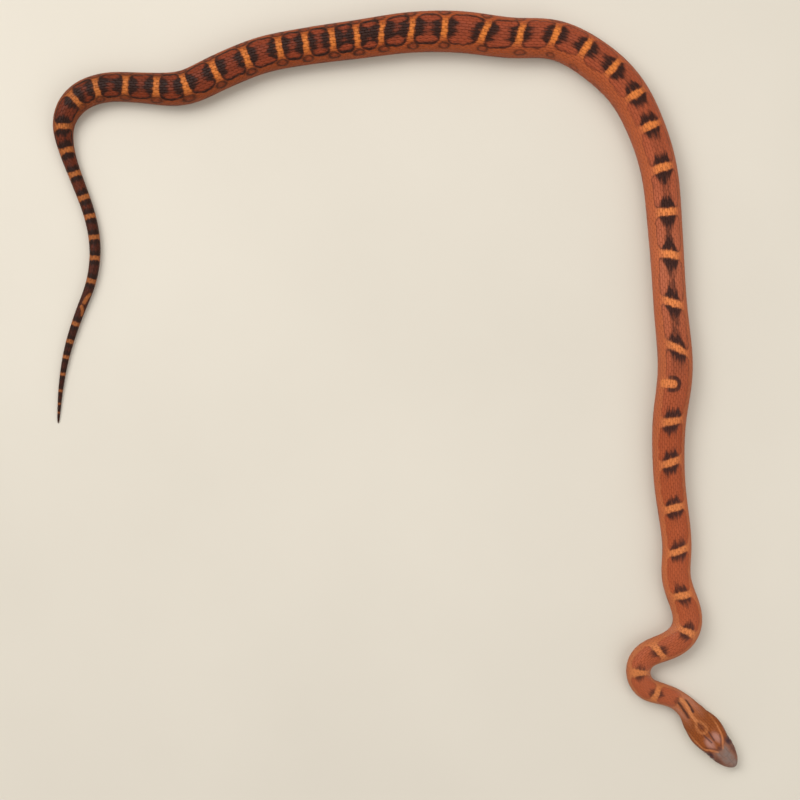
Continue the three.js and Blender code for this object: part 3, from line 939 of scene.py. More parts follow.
    def _back(self, s: Array, u: Array, v: Array) -> tuple[Array, Array, Array]:
        """Bars, saddles and black of the back and sides.

        In the calls of wander the divisors are sizes in millimetres and the rest only shifts it.

        Args:
            s: distances from the snout.
            u: arc lengths from the ridge.
            v: shares of the way from the ridge to the belly's edge.

        Returns:
            The shares of bars, saddles and black.
        """
        places = np.array([b.at for b in self.bars])
        lean = np.interp(s, places, [b.lean for b in self.bars])
        shifted = s - lean * np.clip(u, -self.widest_lean, self.widest_lean)
        last = self.form.spine.total + self.lead_out
        ends = np.concatenate([[self.first_saddle - self.lead_in], places, [last]])
        i = self._gap(ends, shifted)
        pinch = 1 - self.pinch(s) * smoothstep(np.abs(u), *self.pinch_zone)
        front = ends[i] + self.bar_half(ends[i]) * pinch
        back = ends[i + 1] - self.bar_half(ends[i + 1]) * pinch
        ripple = self.ripple * wander(u / 1.9 + i * 7.3, i * 1.7, SEED + 1)
        into = np.minimum(shifted - front, back - shifted) + ripple
        half = np.maximum((back - front) / 2, self.least_half)
        x = np.maximum(1 - into / half, 0)
        from_ridge = np.abs(u - self.drift(s))
        swing = self.saddle_swing * wander(shifted / 2.6, np.sign(u) * 5.0, SEED + 2)
        width = self.saddle_half(s) * (1 + swing)
        n = self.corner(s)
        ring = (x**n + (from_ridge / width) ** n) ** (1 / n)
        edge = (1 - ring) * np.minimum(half, width)
        saddle = smoothstep(edge, -self.saddle_soft, self.saddle_soft)
        swing = self.patch_swing * wander(shifted / 3.0 + 11, np.sign(u) * 3.0, SEED + 8)
        reach = self.patch_half(s) * (1 + swing)
        reach = reach * (1 - self.taper(s) * np.clip(into / half, 0, 1))
        plateau = 1 - smoothstep(from_ridge, reach * self.patch_edge[0], reach * self.patch_edge[1])
        comb = self.comb_mean + self.comb_swing * wander(u / 0.55 + 31.7, shifted / 4.0 + i * 3.3, SEED + 3)
        depth = self.band(s) + self.streak(s) * plateau * comb
        patch = (1 - smoothstep((into - depth) / self.feather(s), -1, 1)) * self.patch_share(s)
        fine = wander(u / 0.5 + 5.1, shifted / 2.2, SEED + 9)
        dusk = self.dusk(s) * plateau * np.clip(self.dusk_mean + self.dusk_swing * fine, 0, 1)
        line = self.outline(s) * (1 + self.outline_swing * wander(shifted / 1.4, u / 1.4, SEED + 4))
        near, far = self.outline_edge
        rim = (1 - smoothstep(edge, line * near, line * far)) * self.outline_share(s)
        tail = smoothstep(s, *self.tail_zone) * (self.tail_mean + self.tail_swing * fine)
        black = saddle * np.maximum.reduce([patch, rim, dusk, tail])
        near_bar = np.minimum(shifted - ends[i], ends[i + 1] - shifted)
        bar = (1 - saddle) * (1 - smoothstep(near_bar, *self.bar_edge))
        bar = bar * (1 - smoothstep(from_ridge, *self.bar_sides))
        for spot in self.spots:
            far = to_line(spot.line, s, u)
            inside = 1 - smoothstep(far, spot.half - self.spot_soft, spot.half + self.spot_soft)
            bar = np.maximum(bar, inside)
            edging = 1 - smoothstep(far - spot.half, spot.edging * self.edging_core, spot.edging)
            edging = edging * smoothstep(u, *self.edging_side)
            black = np.maximum(black, edging * self.edging_share * saddle) * (1 - inside)
            saddle = saddle * (1 - inside)
        fill, rings = self._side_ovals(s, v, ends)
        return bar, np.maximum(saddle, fill), np.maximum(black, rings)

    def _side_ovals(self, s: Array, v: Array, ends: Array) -> tuple[Array, Array]:
        """The outlined ovals low on the sides: one under each bar, and smaller ones between them.

        Args:
            s: distances from the snout.
            v: shares of the way from the ridge to the belly's edge.
            ends: the bars' places, and one beyond each end of the pattern.

        Returns:
            The shares of the ovals' fill and of their outlines.
        """
        i = self._gap(ends, s)
        under_bar = np.minimum(s - ends[i], ends[i + 1] - s)
        under_saddle = np.abs(s - (ends[i] + ends[i + 1]) / 2)
        edge = self.form.belly_edge(s)
        wavy = self.oval_swing * wander(s / 1.8, v * 11, SEED + 6)
        middle = self.oval_row(s)
        (long, high), (short, low) = self.upper_oval, self.lower_oval
        upper = np.hypot(under_bar / long, (v - middle) * edge / high) + wavy
        lower = np.hypot(under_saddle / short, (v - lerp(middle, 1.0, self.lower_drop)) * edge / low) + wavy
        share = self.oval_share(s)
        less = self.lower_share
        fill = np.maximum(
            1 - smoothstep(upper, *self.oval_edge), less * (1 - smoothstep(lower, *self.oval_edge)),
        )
        wide, thin = self.ring_widths
        rings = np.maximum(bump(upper, self.ring_at, wide), less * bump(lower, self.ring_at, thin))
        return fill * share * self.oval_fill, rings * share * self.ring_share

    def _belly_checks(self, s: Array, u: Array) -> Array:
        """The belly's dark checks, and the two stripes under the tail.

        Args:
            s: distances from the snout.
            u: arc lengths from the ridge.

        Returns:
            How black each place is.
        """
        side = np.sign(u)
        column = np.floor(s / self.check_length + 0.5 * (side > 0))
        checks = wander(column * 3.7, side * 9.1, SEED + 7) > self.check_least
        body = checks * smoothstep(s, *self.check_starts)
        return self.check_share * np.where(s < self.form.vent, body, self.tail_stripe)

    def _folds(self, s: Array, u: Array) -> Array:
        """The fine pale creases on the inner sides of the neck's bends.

        Args:
            s: distances from the snout.
            u: arc lengths from the ridge.

        Returns:
            How much of a crease lies at each place.
        """
        wave = np.sin((s + 0.35 * np.abs(u)) * 3.1 + 2.2 * wander(s / 3.0, u / 3.0, SEED + 10))
        crease = smoothstep(wave, *self.fold_edge)
        right = bump(s, *self.right_fold) * smoothstep(-u, *self.right_fold_edge)
        left = bump(s, *self.left_fold) * smoothstep(u, *self.left_fold_edge)
        return self.fold_share * crease * np.maximum(right, left)


def new_mesh(name: str, corners: Array, faces: list[Array], smooth: list[bool]) -> bpy.types.Object:
    """A mesh object from arrays.

    Args:
        name: the piece's name.
        corners: places in millimetres.
        faces: for each kind of face, the corners of every face of it.
        smooth: for each kind of face, whether it is shaded smooth.

    Returns:
        The object, linked to the scene.
    """
    mesh = bpy.data.meshes.new(name)
    loops = np.concatenate([f.ravel() for f in faces]).astype(np.int32)
    sizes = np.concatenate([np.full(len(f), f.shape[1]) for f in faces])
    mesh.vertices.add(len(corners))
    mesh.vertices.foreach_set("co", (corners * MM).astype(np.float32).ravel())
    mesh.loops.add(len(loops))
    mesh.loops.foreach_set("vertex_index", loops)
    mesh.polygons.add(len(sizes))
    mesh.polygons.foreach_set("loop_start", (np.cumsum(sizes) - sizes).astype(np.int32))
    mesh.update(calc_edges=True)
    flags = np.concatenate([np.full(len(f), s) for f, s in zip(faces, smooth)])
    mesh.polygons.foreach_set("use_smooth", flags)
    mesh.validate()
    made = bpy.data.objects.new(name, mesh)
    bpy.context.scene.collection.objects.link(made)
    return made


def store(piece: bpy.types.Object, fields: dict[str, Array]) -> None:
    """Keep values on a piece's corners for its material.

    Args:
        piece: the mesh object.
        fields: by name, three values for each corner.
    """
    for name, values in fields.items():
        held = piece.data.attributes.new(name, "FLOAT_VECTOR", "POINT")
        held.data.foreach_set("vector", values.astype(np.float32).ravel())


def store_map(piece: bpy.types.Object, places: Array) -> None:
    """Keep a piece's bake map, a place for each corner of each face."""
    layer = piece.data.uv_layers.new(name="OFBake")
    layer.data.foreach_set("uv", places.astype(np.float32).ravel())


@dataclass
class Coat:
    """How the scales lie on the skin."""

    form: BodyForm
    lattice: Lattice
    markings: Markings
    depth: float = 0.24
    lift_root: float = -0.04
    lift_tip: float = 0.08
    crown: float = 0.046
    starts: Range = (18.0, 28.0)

    def thickness(self, s: Array) -> Array:
        """Depth of the coat, which thins to nothing on the head and is finer on the tail."""
        return self.depth * self.lattice.fineness(s) * smoothstep(s, *self.starts)


@dataclass
class HeadPlates:
    """The large plates of the head, given by the seams between them on one side.

    A seam's points are (distance from the snout, turn), with turn 0 on the ridge, 1 at the mouth
    and 2 under the middle of the chin.
    """

    form: BodyForm
    step: float = 0.06
    seam_depth: float = 0.055
    cut_depth: float = 0.035
    seam_width: float = 0.34
    cut_width: float = 0.13
    turn_length: float = 10.0
    crown_seams: tuple[Line, ...] = (
        ((0.55, 1.0), (0.6, 0.8), (0.75, 0.5), (1.1, 0.25), (1.7, 0.0)), ((1.7, 0), (4.0, 0)),
        ((0.85, 0.42), (2.2, 0.34), (4.0, 0.40)),
        ((4.0, 0), (4.0, 0.2), (4.2, 0.40), (4.7, 0.46), (4.7, 0.73)), ((2.75, 0.35), (2.75, 0.76)),
        ((4.0, 0), (8.1, 0)), ((4.7, 0.46), (6.5, 0.49), (8.4, 0.49)),
        ((8.1, 0), (8.5, 0.2), (9.3, 0.38), (9.9, 0.47)),
        ((8.5, 0.2), (11.5, 0.19), (14.0, 0.15), (15.8, 0)),
        ((8.4, 0.49), (9.9, 0.47), (12.5, 0.455), (14.8, 0.43)),
        ((14.0, 0.15), (14.6, 0.30), (14.8, 0.43)), ((15.8, 0), (22.6, 0)),
        ((14.8, 0.43), (17, 0.45), (20, 0.41), (22.6, 0.27), (23.3, 0.12), (22.6, 0)),
        ((4.7, 0.69), (8.4, 0.68)), ((8.4, 0.49), (8.4, 0.74)),
        ((16.1, 0.44), (16.0, 0.60), (15.7, 0.74)), ((14.4, 0.60), (16.0, 0.60), (19.2, 0.60)),
        ((19.4, 0.42), (19.2, 0.60), (18.7, 0.75)), ((19.3, 0.51), (22.8, 0.50)),
        ((19.2, 0.64), (22.6, 0.64)), ((22.6, 0.27), (23.0, 0.5), (22.6, 0.64), (22.2, 0.78)),
    )
    lip_seams: tuple[Line, ...] = (
        ((0.62, 0.78), (2.6, 0.75), (4.7, 0.73), (8.4, 0.74), (10.4, 0.80), (12.4, 0.83),
         (14.6, 0.80), (15.7, 0.74), (18.7, 0.75), (22.2, 0.78), (25.2, 0.86)),
        ((2.4, 0.75), (2.5, 1.0)), ((4.4, 0.73), (4.6, 1.0)), ((6.5, 0.735), (6.8, 1.0)),
        ((9.2, 0.765), (9.5, 1.0)), ((12.0, 0.83), (12.3, 1.0)), ((15.0, 0.77), (15.3, 1.0)),
        ((18.2, 0.75), (18.5, 1.0)), ((21.6, 0.775), (21.9, 1.0)),
    )
    jaw_seams: tuple[Line, ...] = (
        ((1.9, 1.12), (2.5, 1.5), (3.3, 2.0)),
        ((3.0, 1.32), (5.0, 1.27), (10, 1.27), (16, 1.27), (22, 1.24), (25, 1.16)),
        ((3.3, 1.03), (3.4, 1.30)), ((5.2, 1.03), (5.5, 1.27)), ((7.2, 1.03), (7.6, 1.27)),
        ((9.4, 1.03), (9.9, 1.27)), ((11.8, 1.03), (12.4, 1.27)), ((14.4, 1.03), (15.0, 1.27)),
        ((17.2, 1.03), (17.8, 1.27)), ((20.2, 1.03), (20.7, 1.25)), ((22.8, 1.03), (23.2, 1.22)),
        ((3.3, 2.0), (15.0, 2.0)), ((3.4, 1.30), (5.0, 1.50), (9.6, 1.58), (10.2, 1.78), (10.0, 2.0)),
        ((9.6, 1.58), (13.6, 1.66), (15.2, 1.85), (15.0, 2.0)),
        ((9.9, 1.27), (10.2, 1.45), (9.6, 1.58)), ((14.2, 1.27), (14.4, 1.5), (13.6, 1.66)),
    )

    def __post_init__(self) -> None:
        """Set out points along every seam on both sides, ready to be searched."""
        points = [self._seam(seam) for seam in (*self.crown_seams, *self.lip_seams, *self.jaw_seams)]
        s, turn = np.vstack(points).T
        arc = self._arc(s, turn)
        places = np.vstack([self.form.point(s, arc), self.form.point(s, -arc)])
        self.tree = kdtree.KDTree(len(places))
        for i, place in enumerate(places):
            self.tree.insert(place, i)
        self.tree.balance()

    def _seam(self, seam: Line) -> Array:
        """Close-set points along one seam.

        Args:
            seam: the seam's points.

        Returns:
            Points of the same kind, about a step apart.
        """
        parts = []
        for start, end in zip(seam, seam[1:]):
            wide = np.hypot(end[0] - start[0], self.turn_length * (end[1] - start[1]))
            share = np.linspace(0, 1, max(int(wide / self.step), 2))[:, None]
            parts.append(np.array(start) * (1 - share) + np.array(end) * share)
        return np.vstack(parts)

    def _arc(self, s: Array, turn: Array) -> Array:
        """Arc length of a turn, as a seam's points give it."""
        mouth, girth = self.form.mouth_line(s), self.form.half_girth(s)
        return np.where(turn <= 1, turn * mouth, mouth + (turn - 1) * (girth - mouth))

    def distance(self, places: Array) -> Array:
        """Distance of each place to the nearest seam."""
        return np.array([self.tree.find(place)[2] for place in places])

    def relief(self, far: Array) -> Array:
        """Height of the plates' soft pillows and the cuts between them.

        Args:
            far: distances to the nearest seam.

        Returns:
            How far the surface stands out, never above 0.
        """
        pillow = -self.seam_depth * np.exp(-far / self.seam_width)
        return pillow - self.cut_depth * bump(far, 0, self.cut_width)


@dataclass
class FaceOpenings:
    """Eye sockets, nostrils and the line of the mouth, as they press into the head's skin."""

    form: BodyForm
    eyes: "Eyes"
    opening: float = 1.60
    rim_rise: float = 0.15
    rim_width: float = 0.26
    brow_rise: float = 0.16
    behind: float = 0.35
    nostril_at: float = 2.75
    nostril_turn: float = 0.60
    nostril_half: tuple[float, float, float] = (0.60, 0.90, 0.36)
    nostril_depth: float = 0.50
    mouth_depth: float = 0.42
    mouth_width: float = 0.17
    mouth_fade: Range = (-1.4, 0.4)
    mouth_starts: Range = (0.6, 1.6)
    socket_reach: float = 3.2
    socket_floor: float = -0.8
    socket_edge: Range = (-0.10, 0.14)
    rim_out: float = 0.34
    pit_edge: Range = (0.25, 1.05)
    pit_rim: Range = (1.35, 0.35)
    pit_rise: float = 0.05
    pit_lean: float = 0.5

    def press(self, s: Array, u: Array, place: Array, out: Array) -> tuple[Array, Array]:
        """Move the skin at the openings.

        Args:
            s: distances from the snout.
            u: arc lengths from the ridge.
            place: places on the skin.
            out: unit vectors out of it.

        Returns:
            The moved places and how deep in an opening each lies, from 0 to 1, which the skin's material
            darkens as painted shade.
        """
        deep = np.zeros(len(place))
        for side in (1, -1):
            place, shade = self._socket(side, place)
            deep = np.maximum(deep, shade)
            place, shade = self._nostril(side, place, out)
            deep = np.maximum(deep, shade)
        from_mouth = np.abs(np.abs(u) - self.form.mouth_line(s))
        fade = 1 - smoothstep(s - self.form.jaw_corner, *self.mouth_fade)
        fade = fade * smoothstep(s - self.form.chin_setback, *self.mouth_starts)
        cut = bump(from_mouth, 0, self.mouth_width) * fade
        return place - out * (cut * self.mouth_depth)[:, None], np.maximum(deep, cut)

    def _socket(self, side: int, place: Array) -> tuple[Array, Array]:
        """Sink the skin behind an eye and raise a rim round it.

        Args:
            side: 1 for the left eye and -1 for the right.
            place: places on the skin.

        Returns:
            The moved places and how deep in the socket each lies.
        """
        middle, look = self.eyes.axis(side)
        offset = place - middle
        high = offset @ look
        flat = offset - high[:, None] * look
        far = np.linalg.norm(flat, axis=1)
        near = (far < self.socket_reach) & (high > self.socket_floor)
        upward = flat[:, 2] / np.maximum(far, SMALL)
        dome = self.eyes.depth * np.sqrt(np.clip(1 - (far / self.eyes.radius) ** 2, 0, 1))
        sunk = np.minimum(high, dome - self.behind)
        inside = 1 - smoothstep(far - self.opening, *self.socket_edge)
        rim = self.rim_rise + self.brow_rise * np.clip(upward, 0, 1)
        rim = rim * bump(far, self.opening + self.rim_out, self.rim_width)
        target = lerp(high, sunk, inside) + rim * (1 - inside)
        moved = place + ((target - high) * near)[:, None] * look
        return moved, inside * near

    def _nostril(self, side: int, place: Array, out: Array) -> tuple[Array, Array]:
        """Press a nostril's pit into the snout's side and raise its edge.

        Args:
            side: 1 for the left nostril and -1 for the right.
            place: places on the skin.
            out: unit vectors out of it.

        Returns:
            The moved places and how deep in the pit each lies.
        """
        s = np.array([self.nostril_at])
        middle = self.form.point(s, side * self.nostril_turn * self.form.mouth_line(s))[0]
        back = np.array([*self.form.spine.direction, 0.0])
        back /= np.linalg.norm(back)
        offset = place - middle
        along, up = offset @ back, offset[:, 2]
        across = np.linalg.norm(offset - along[:, None] * back - up[:, None] * [0, 0, 1], axis=1)
        long, wide, high = self.nostril_half
        far = np.sqrt(((along + self.pit_lean * up) / long) ** 2 + (across / wide) ** 2 + (up / high) ** 2)
        pit = 1 - smoothstep(far, *self.pit_edge)
        edge = self.pit_rise * bump(far, *self.pit_rim)
        return place + out * (edge - self.nostril_depth * pit)[:, None], pit


@dataclass
class Skin:
    """The one skin of head, body and tail under the scales."""

    coat: Coat
    plates: HeadPlates
    openings: FaceOpenings
    head_columns: int = 320
    fine_to: float = 27.0
    snout_rings: int = 56
    fine_step: float = 0.135
    join_step: float = 1.2
    body_step: float = 2.0
    mouth_share: float = 0.66
    floor_room: float = 0.03
    join_count: int = 6
    tip_rings: tuple[float, float, float] = (0.6, 0.25, 0.06)
    tip_room: float = 0.4
    plates_end: Range = (24.0, 26.0)
    crease_width: float = 0.15
    far_from_seam: float = 9.0
    blend: float = 5.0

    def _rings(self) -> tuple[Array, Array]:
        """Where the rings go and how many corners each has.

        Returns:
            Distances from the snout, and a number of corners for each.
        """
        form = self.coat.form
        turn = np.linspace(0, np.pi / 2, self.snout_rings + 1)[1:]
        snout = form.snout_rounding * (1 - np.cos(turn))
        head = np.arange(form.snout_rounding + self.fine_step, self.fine_to, self.fine_step)
        joins = self.fine_to + self.join_step * np.arange(1, self.join_count + 1)
        body = np.arange(joins[-1] + self.body_step / 2, form.spine.total, self.body_step)
        tip = form.spine.total - np.array(self.tip_rings)
        body = body[body < tip[0] - self.tip_room]
        at = np.concatenate([snout, head, joins, body, tip])
        columns = np.full(len(at), self.head_columns // 8)
        columns[at <= joins[4]] = self.head_columns // 4
        columns[at <= joins[2]] = self.head_columns // 2
        columns[at <= joins[0]] = self.head_columns
        return at, columns

    def _arc(self, s: Array, share: Array) -> Array:
        """Arc length at a share of the half girth, with the head's corners along the mouth.

        Args:
            s: distances from the snout.
            share: shares of the half girth.

        Returns:
            Arc lengths from the ridge.
        """
        girth = self.coat.form.half_girth(s)
        mouth = self.coat.form.mouth_line(s)
        upper = mouth * share / self.mouth_share
        lower = mouth + (girth - mouth) * (share - self.mouth_share) / (1 - self.mouth_share)
        aligned = np.where(share < self.mouth_share, upper, lower)
        return lerp(aligned, girth * share, smoothstep(s - self.fine_to, 0, self.blend))

    def build(self) -> bpy.types.Object:
        """Make the skin.

        Returns:
            The skin's object.
        """
        form = self.coat.form
        at, columns = self._rings()
        starts = 1 + np.cumsum(columns) - columns
        s = np.repeat(at, columns)
        index = np.concatenate([np.arange(n) for n in columns])
        count = np.repeat(columns, columns)
        share = 2 * index / count
        side = np.where(share <= 1, 1.0, -1.0)
        share = np.where(share <= 1, share, 2 - share)
        u = side * self._arc(s, share)
        place = form.point(s, u)
        out = form.normal(s, u)
        on_head = s < self.fine_to
        seam = np.full(len(s), self.far_from_seam)
        seam[on_head] = self.plates.distance(place[on_head])
        fade = 1 - smoothstep(s, *self.plates_end)
        place = place + out * (self.plates.relief(seam) * fade - self.coat.thickness(s))[:, None]
        place, deep = self.openings.press(s, u, place, out)
        place[:, 2] = np.maximum(place[:, 2], self.floor_room)
        # Dark seams between the head's plates: partly their own sutures, partly painted shade in the grooves.
        crease = bump(seam, 0, self.crease_width) * fade
        ends = np.array([0.0, form.spine.total])
        tips = form.point(ends, np.zeros(2))
        tips[0, 2] = form.snout_tip_height
        tips[1, 2] = place[-1, 2] / 2
        corners = np.vstack([tips[:1], place, tips[1:]])
        quads, triangles, places = self._faces(columns, starts, len(corners) - 1)
        skin = new_mesh("skin", corners, [quads, triangles], [True, True])
        store_map(skin, places)
        all_s = np.concatenate([[0], s, [form.spine.total]])
        all_u = np.concatenate([[0], u, [0]])
        marks = self.coat.markings.at(all_s, all_u)
        store(skin, marks.packed())
        # The seams' share (partly their own sutures) and the openings' share, which darken the skin as
        # painted shade.
        depths = np.stack([crease, deep, np.zeros(len(s))], -1)
        store(skin, {"relief": np.vstack([[0, 0, 0], depths, [0, 0, 0]])})
        return skin

    def _faces(self, columns: Array, starts: Array, last: int) -> tuple[Array, Array, Array]:
        """Faces between the rings, the fans that close both ends, and their bake map.

        Args:
            columns: corners in each ring.
            starts: first corner of each ring.
            last: the corner at the tail's tip.

        Returns:
            Four-sided faces, triangles, and a place in the map for each corner of each face.
        """
        quads, quad_map, triangles, triangle_map = [], [], [], []
        rings = len(columns)
        unroll = SkinMap(int(np.sum(columns == columns[0])), rings)
        for i in range(rings - 1):
            n0, n1, a, b = columns[i], columns[i + 1], starts[i], starts[i + 1]
            j = np.arange(n1)
            k = (j + 1) % n1
            if n0 == n1:
                quads.append(np.stack([a + j, b + j, b + k, a + k], -1))
                low, high = j / n0, (j + 1) / n0
                quad_map.append(unroll.corners(i, ((0, low), (1, low), (1, high), (0, high))))
                continue
            near, far, half = j / n1, (j + 1) / n1, (j + 0.5) / n1
            middle = a + 2 * j + 1
            triangles.append(np.stack([a + 2 * j, b + j, middle], -1))
            triangle_map.append(unroll.corners(i, ((0, near), (1, near), (0, half))))
            triangles.append(np.stack([middle, b + j, b + k], -1))
            triangle_map.append(unroll.corners(i, ((0, half), (1, near), (1, far))))
            triangles.append(np.stack([middle, b + k, a + 2 * k], -1))
            triangle_map.append(unroll.corners(i, ((0, half), (1, far), (0, far))))
        for ring, tip, way in ((0, 0, 1), (rings - 1, last, -1)):
            j = np.arange(columns[ring])[::way]
            k = (j + way) % columns[ring]
            share = j / columns[ring]
            beside = (j + way) / columns[ring]
            fan = np.stack([np.full_like(j, tip), starts[ring] + j, starts[ring] + k], -1)
            triangles.append(fan)
            outer = -1 if way > 0 else 1
            middle = (share + beside) / 2
            triangle_map.append(unroll.corners(ring, ((outer, middle), (0, share), (0, beside))))
        places = np.vstack([m.reshape(-1, 2) for m in (*quad_map, *triangle_map)])
        return np.vstack(quads), np.vstack(triangles), places


@dataclass(frozen=True)
class SkinMap:
    """The skin unrolled on a square: the head in a tall block, the body in strips beside it."""

    head_rings: int
    rings: int
    strips: int = 6
    margin: float = 0.012
    strip_margin: float = 0.04
    gutter: int = 5
    head_wide: float = 0.44

    def corners(self, ring: int, spots: tuple[tuple[int, Array], ...]) -> Array:
        """Places in the map for the faces behind a ring.

        Args:
            ring: which ring.
            spots: for each corner of a face, rings further on and share round the body.

        Returns:
            A place for each corner of each face.
        """
        return np.stack([np.stack(np.broadcast_arrays(*self._place(ring, on, r)), -1) for on, r in spots], 1)

    def _place(self, ring: int, on: int, share: Array) -> tuple[Array, Array]:
        """One corner's place.

        Args:
            ring: which ring.
            on: rings further on.
            share: shares round the body.

        Returns:
            Places across and up the map.
        """
        if ring < self.head_rings:
            x = self.margin * 2 + self.head_wide * (ring + on) / (self.head_rings + 1)
            return np.full(np.shape(share), x), self.margin + (1 - 2 * self.margin) * share
        per_strip = int(np.ceil((self.rings - self.head_rings + 1) / self.strips))
        strip, step = divmod(ring - self.head_rings, per_strip)
        left = self.head_wide + self.gutter * self.margin
        x = left + (1 - self.margin * 2 - left) * (step + on) / (per_strip + 1)
        y = (strip + lerp(self.strip_margin, 1 - self.strip_margin, share)) / self.strips
        return np.full(np.shape(share), x), y


@dataclass
class PlateMesh:
    """Many small closed plates of one kind, each a grid of corners, as one mesh."""

    along: int
    across: int

    def make(self, name: str, place: Array, top: Places, under: Places) -> bpy.types.Object:
        """Make the plates.

        Args:
            name: the piece's name.
            place: the corners of each plate, in millimetres.
            top: where the corners lie across and up the bake map, for the plates' tops.
            under: the same for their undersides.

        Returns:
            The joined plates' object.
        """
        kinds = self._faces(len(place))
        made = new_mesh(name, place.reshape(-1, 3), kinds, [True, False, False, False])
        shape = place.shape[:-1]
        top, under = (
            np.stack([np.broadcast_to(v, shape) for v in side], -1).reshape(-1, 2) for side in (top, under)
        )
        store_map(made, np.vstack([top[kinds[0].ravel()], *[under[k.ravel()] for k in kinds[1:]]]))
        return made

    def _faces(self, count: int) -> list[Array]:
        """Faces of all the plates.

        Args:
            count: how many plates there are.

        Returns:
            The faces of each kind: tops, undersides, and those that close root and tip.
        """
        grid = np.arange(self.along * self.across).reshape(self.along, self.across)
        top = np.stack([grid[:-1, :-1], grid[1:, :-1], grid[1:, 1:], grid[:-1, 1:]], -1).reshape(-1, 4)
        left, right = grid[:, 0], grid[:, -1]
        under = np.stack([left[1:-2], right[1:-2], right[2:-1], left[2:-1]], -1)
        root = np.concatenate([grid[0], [right[1], left[1]]])[None]
        tip = np.concatenate([[left[-2], right[-2]], grid[-1, ::-1]])[None]
        start = (np.arange(count) * grid.size)[:, None, None]
        return [(start + kind).reshape(-1, kind.shape[1]) for kind in (top, under, root, tip)]


class Region(Enum):
    """The parts of the coat, each a band of rows as long as the snake."""

    BACK = "back_scales"
    LEFT = "left_side_scales"
    RIGHT = "right_side_scales"
    THROAT = "throat_scales"


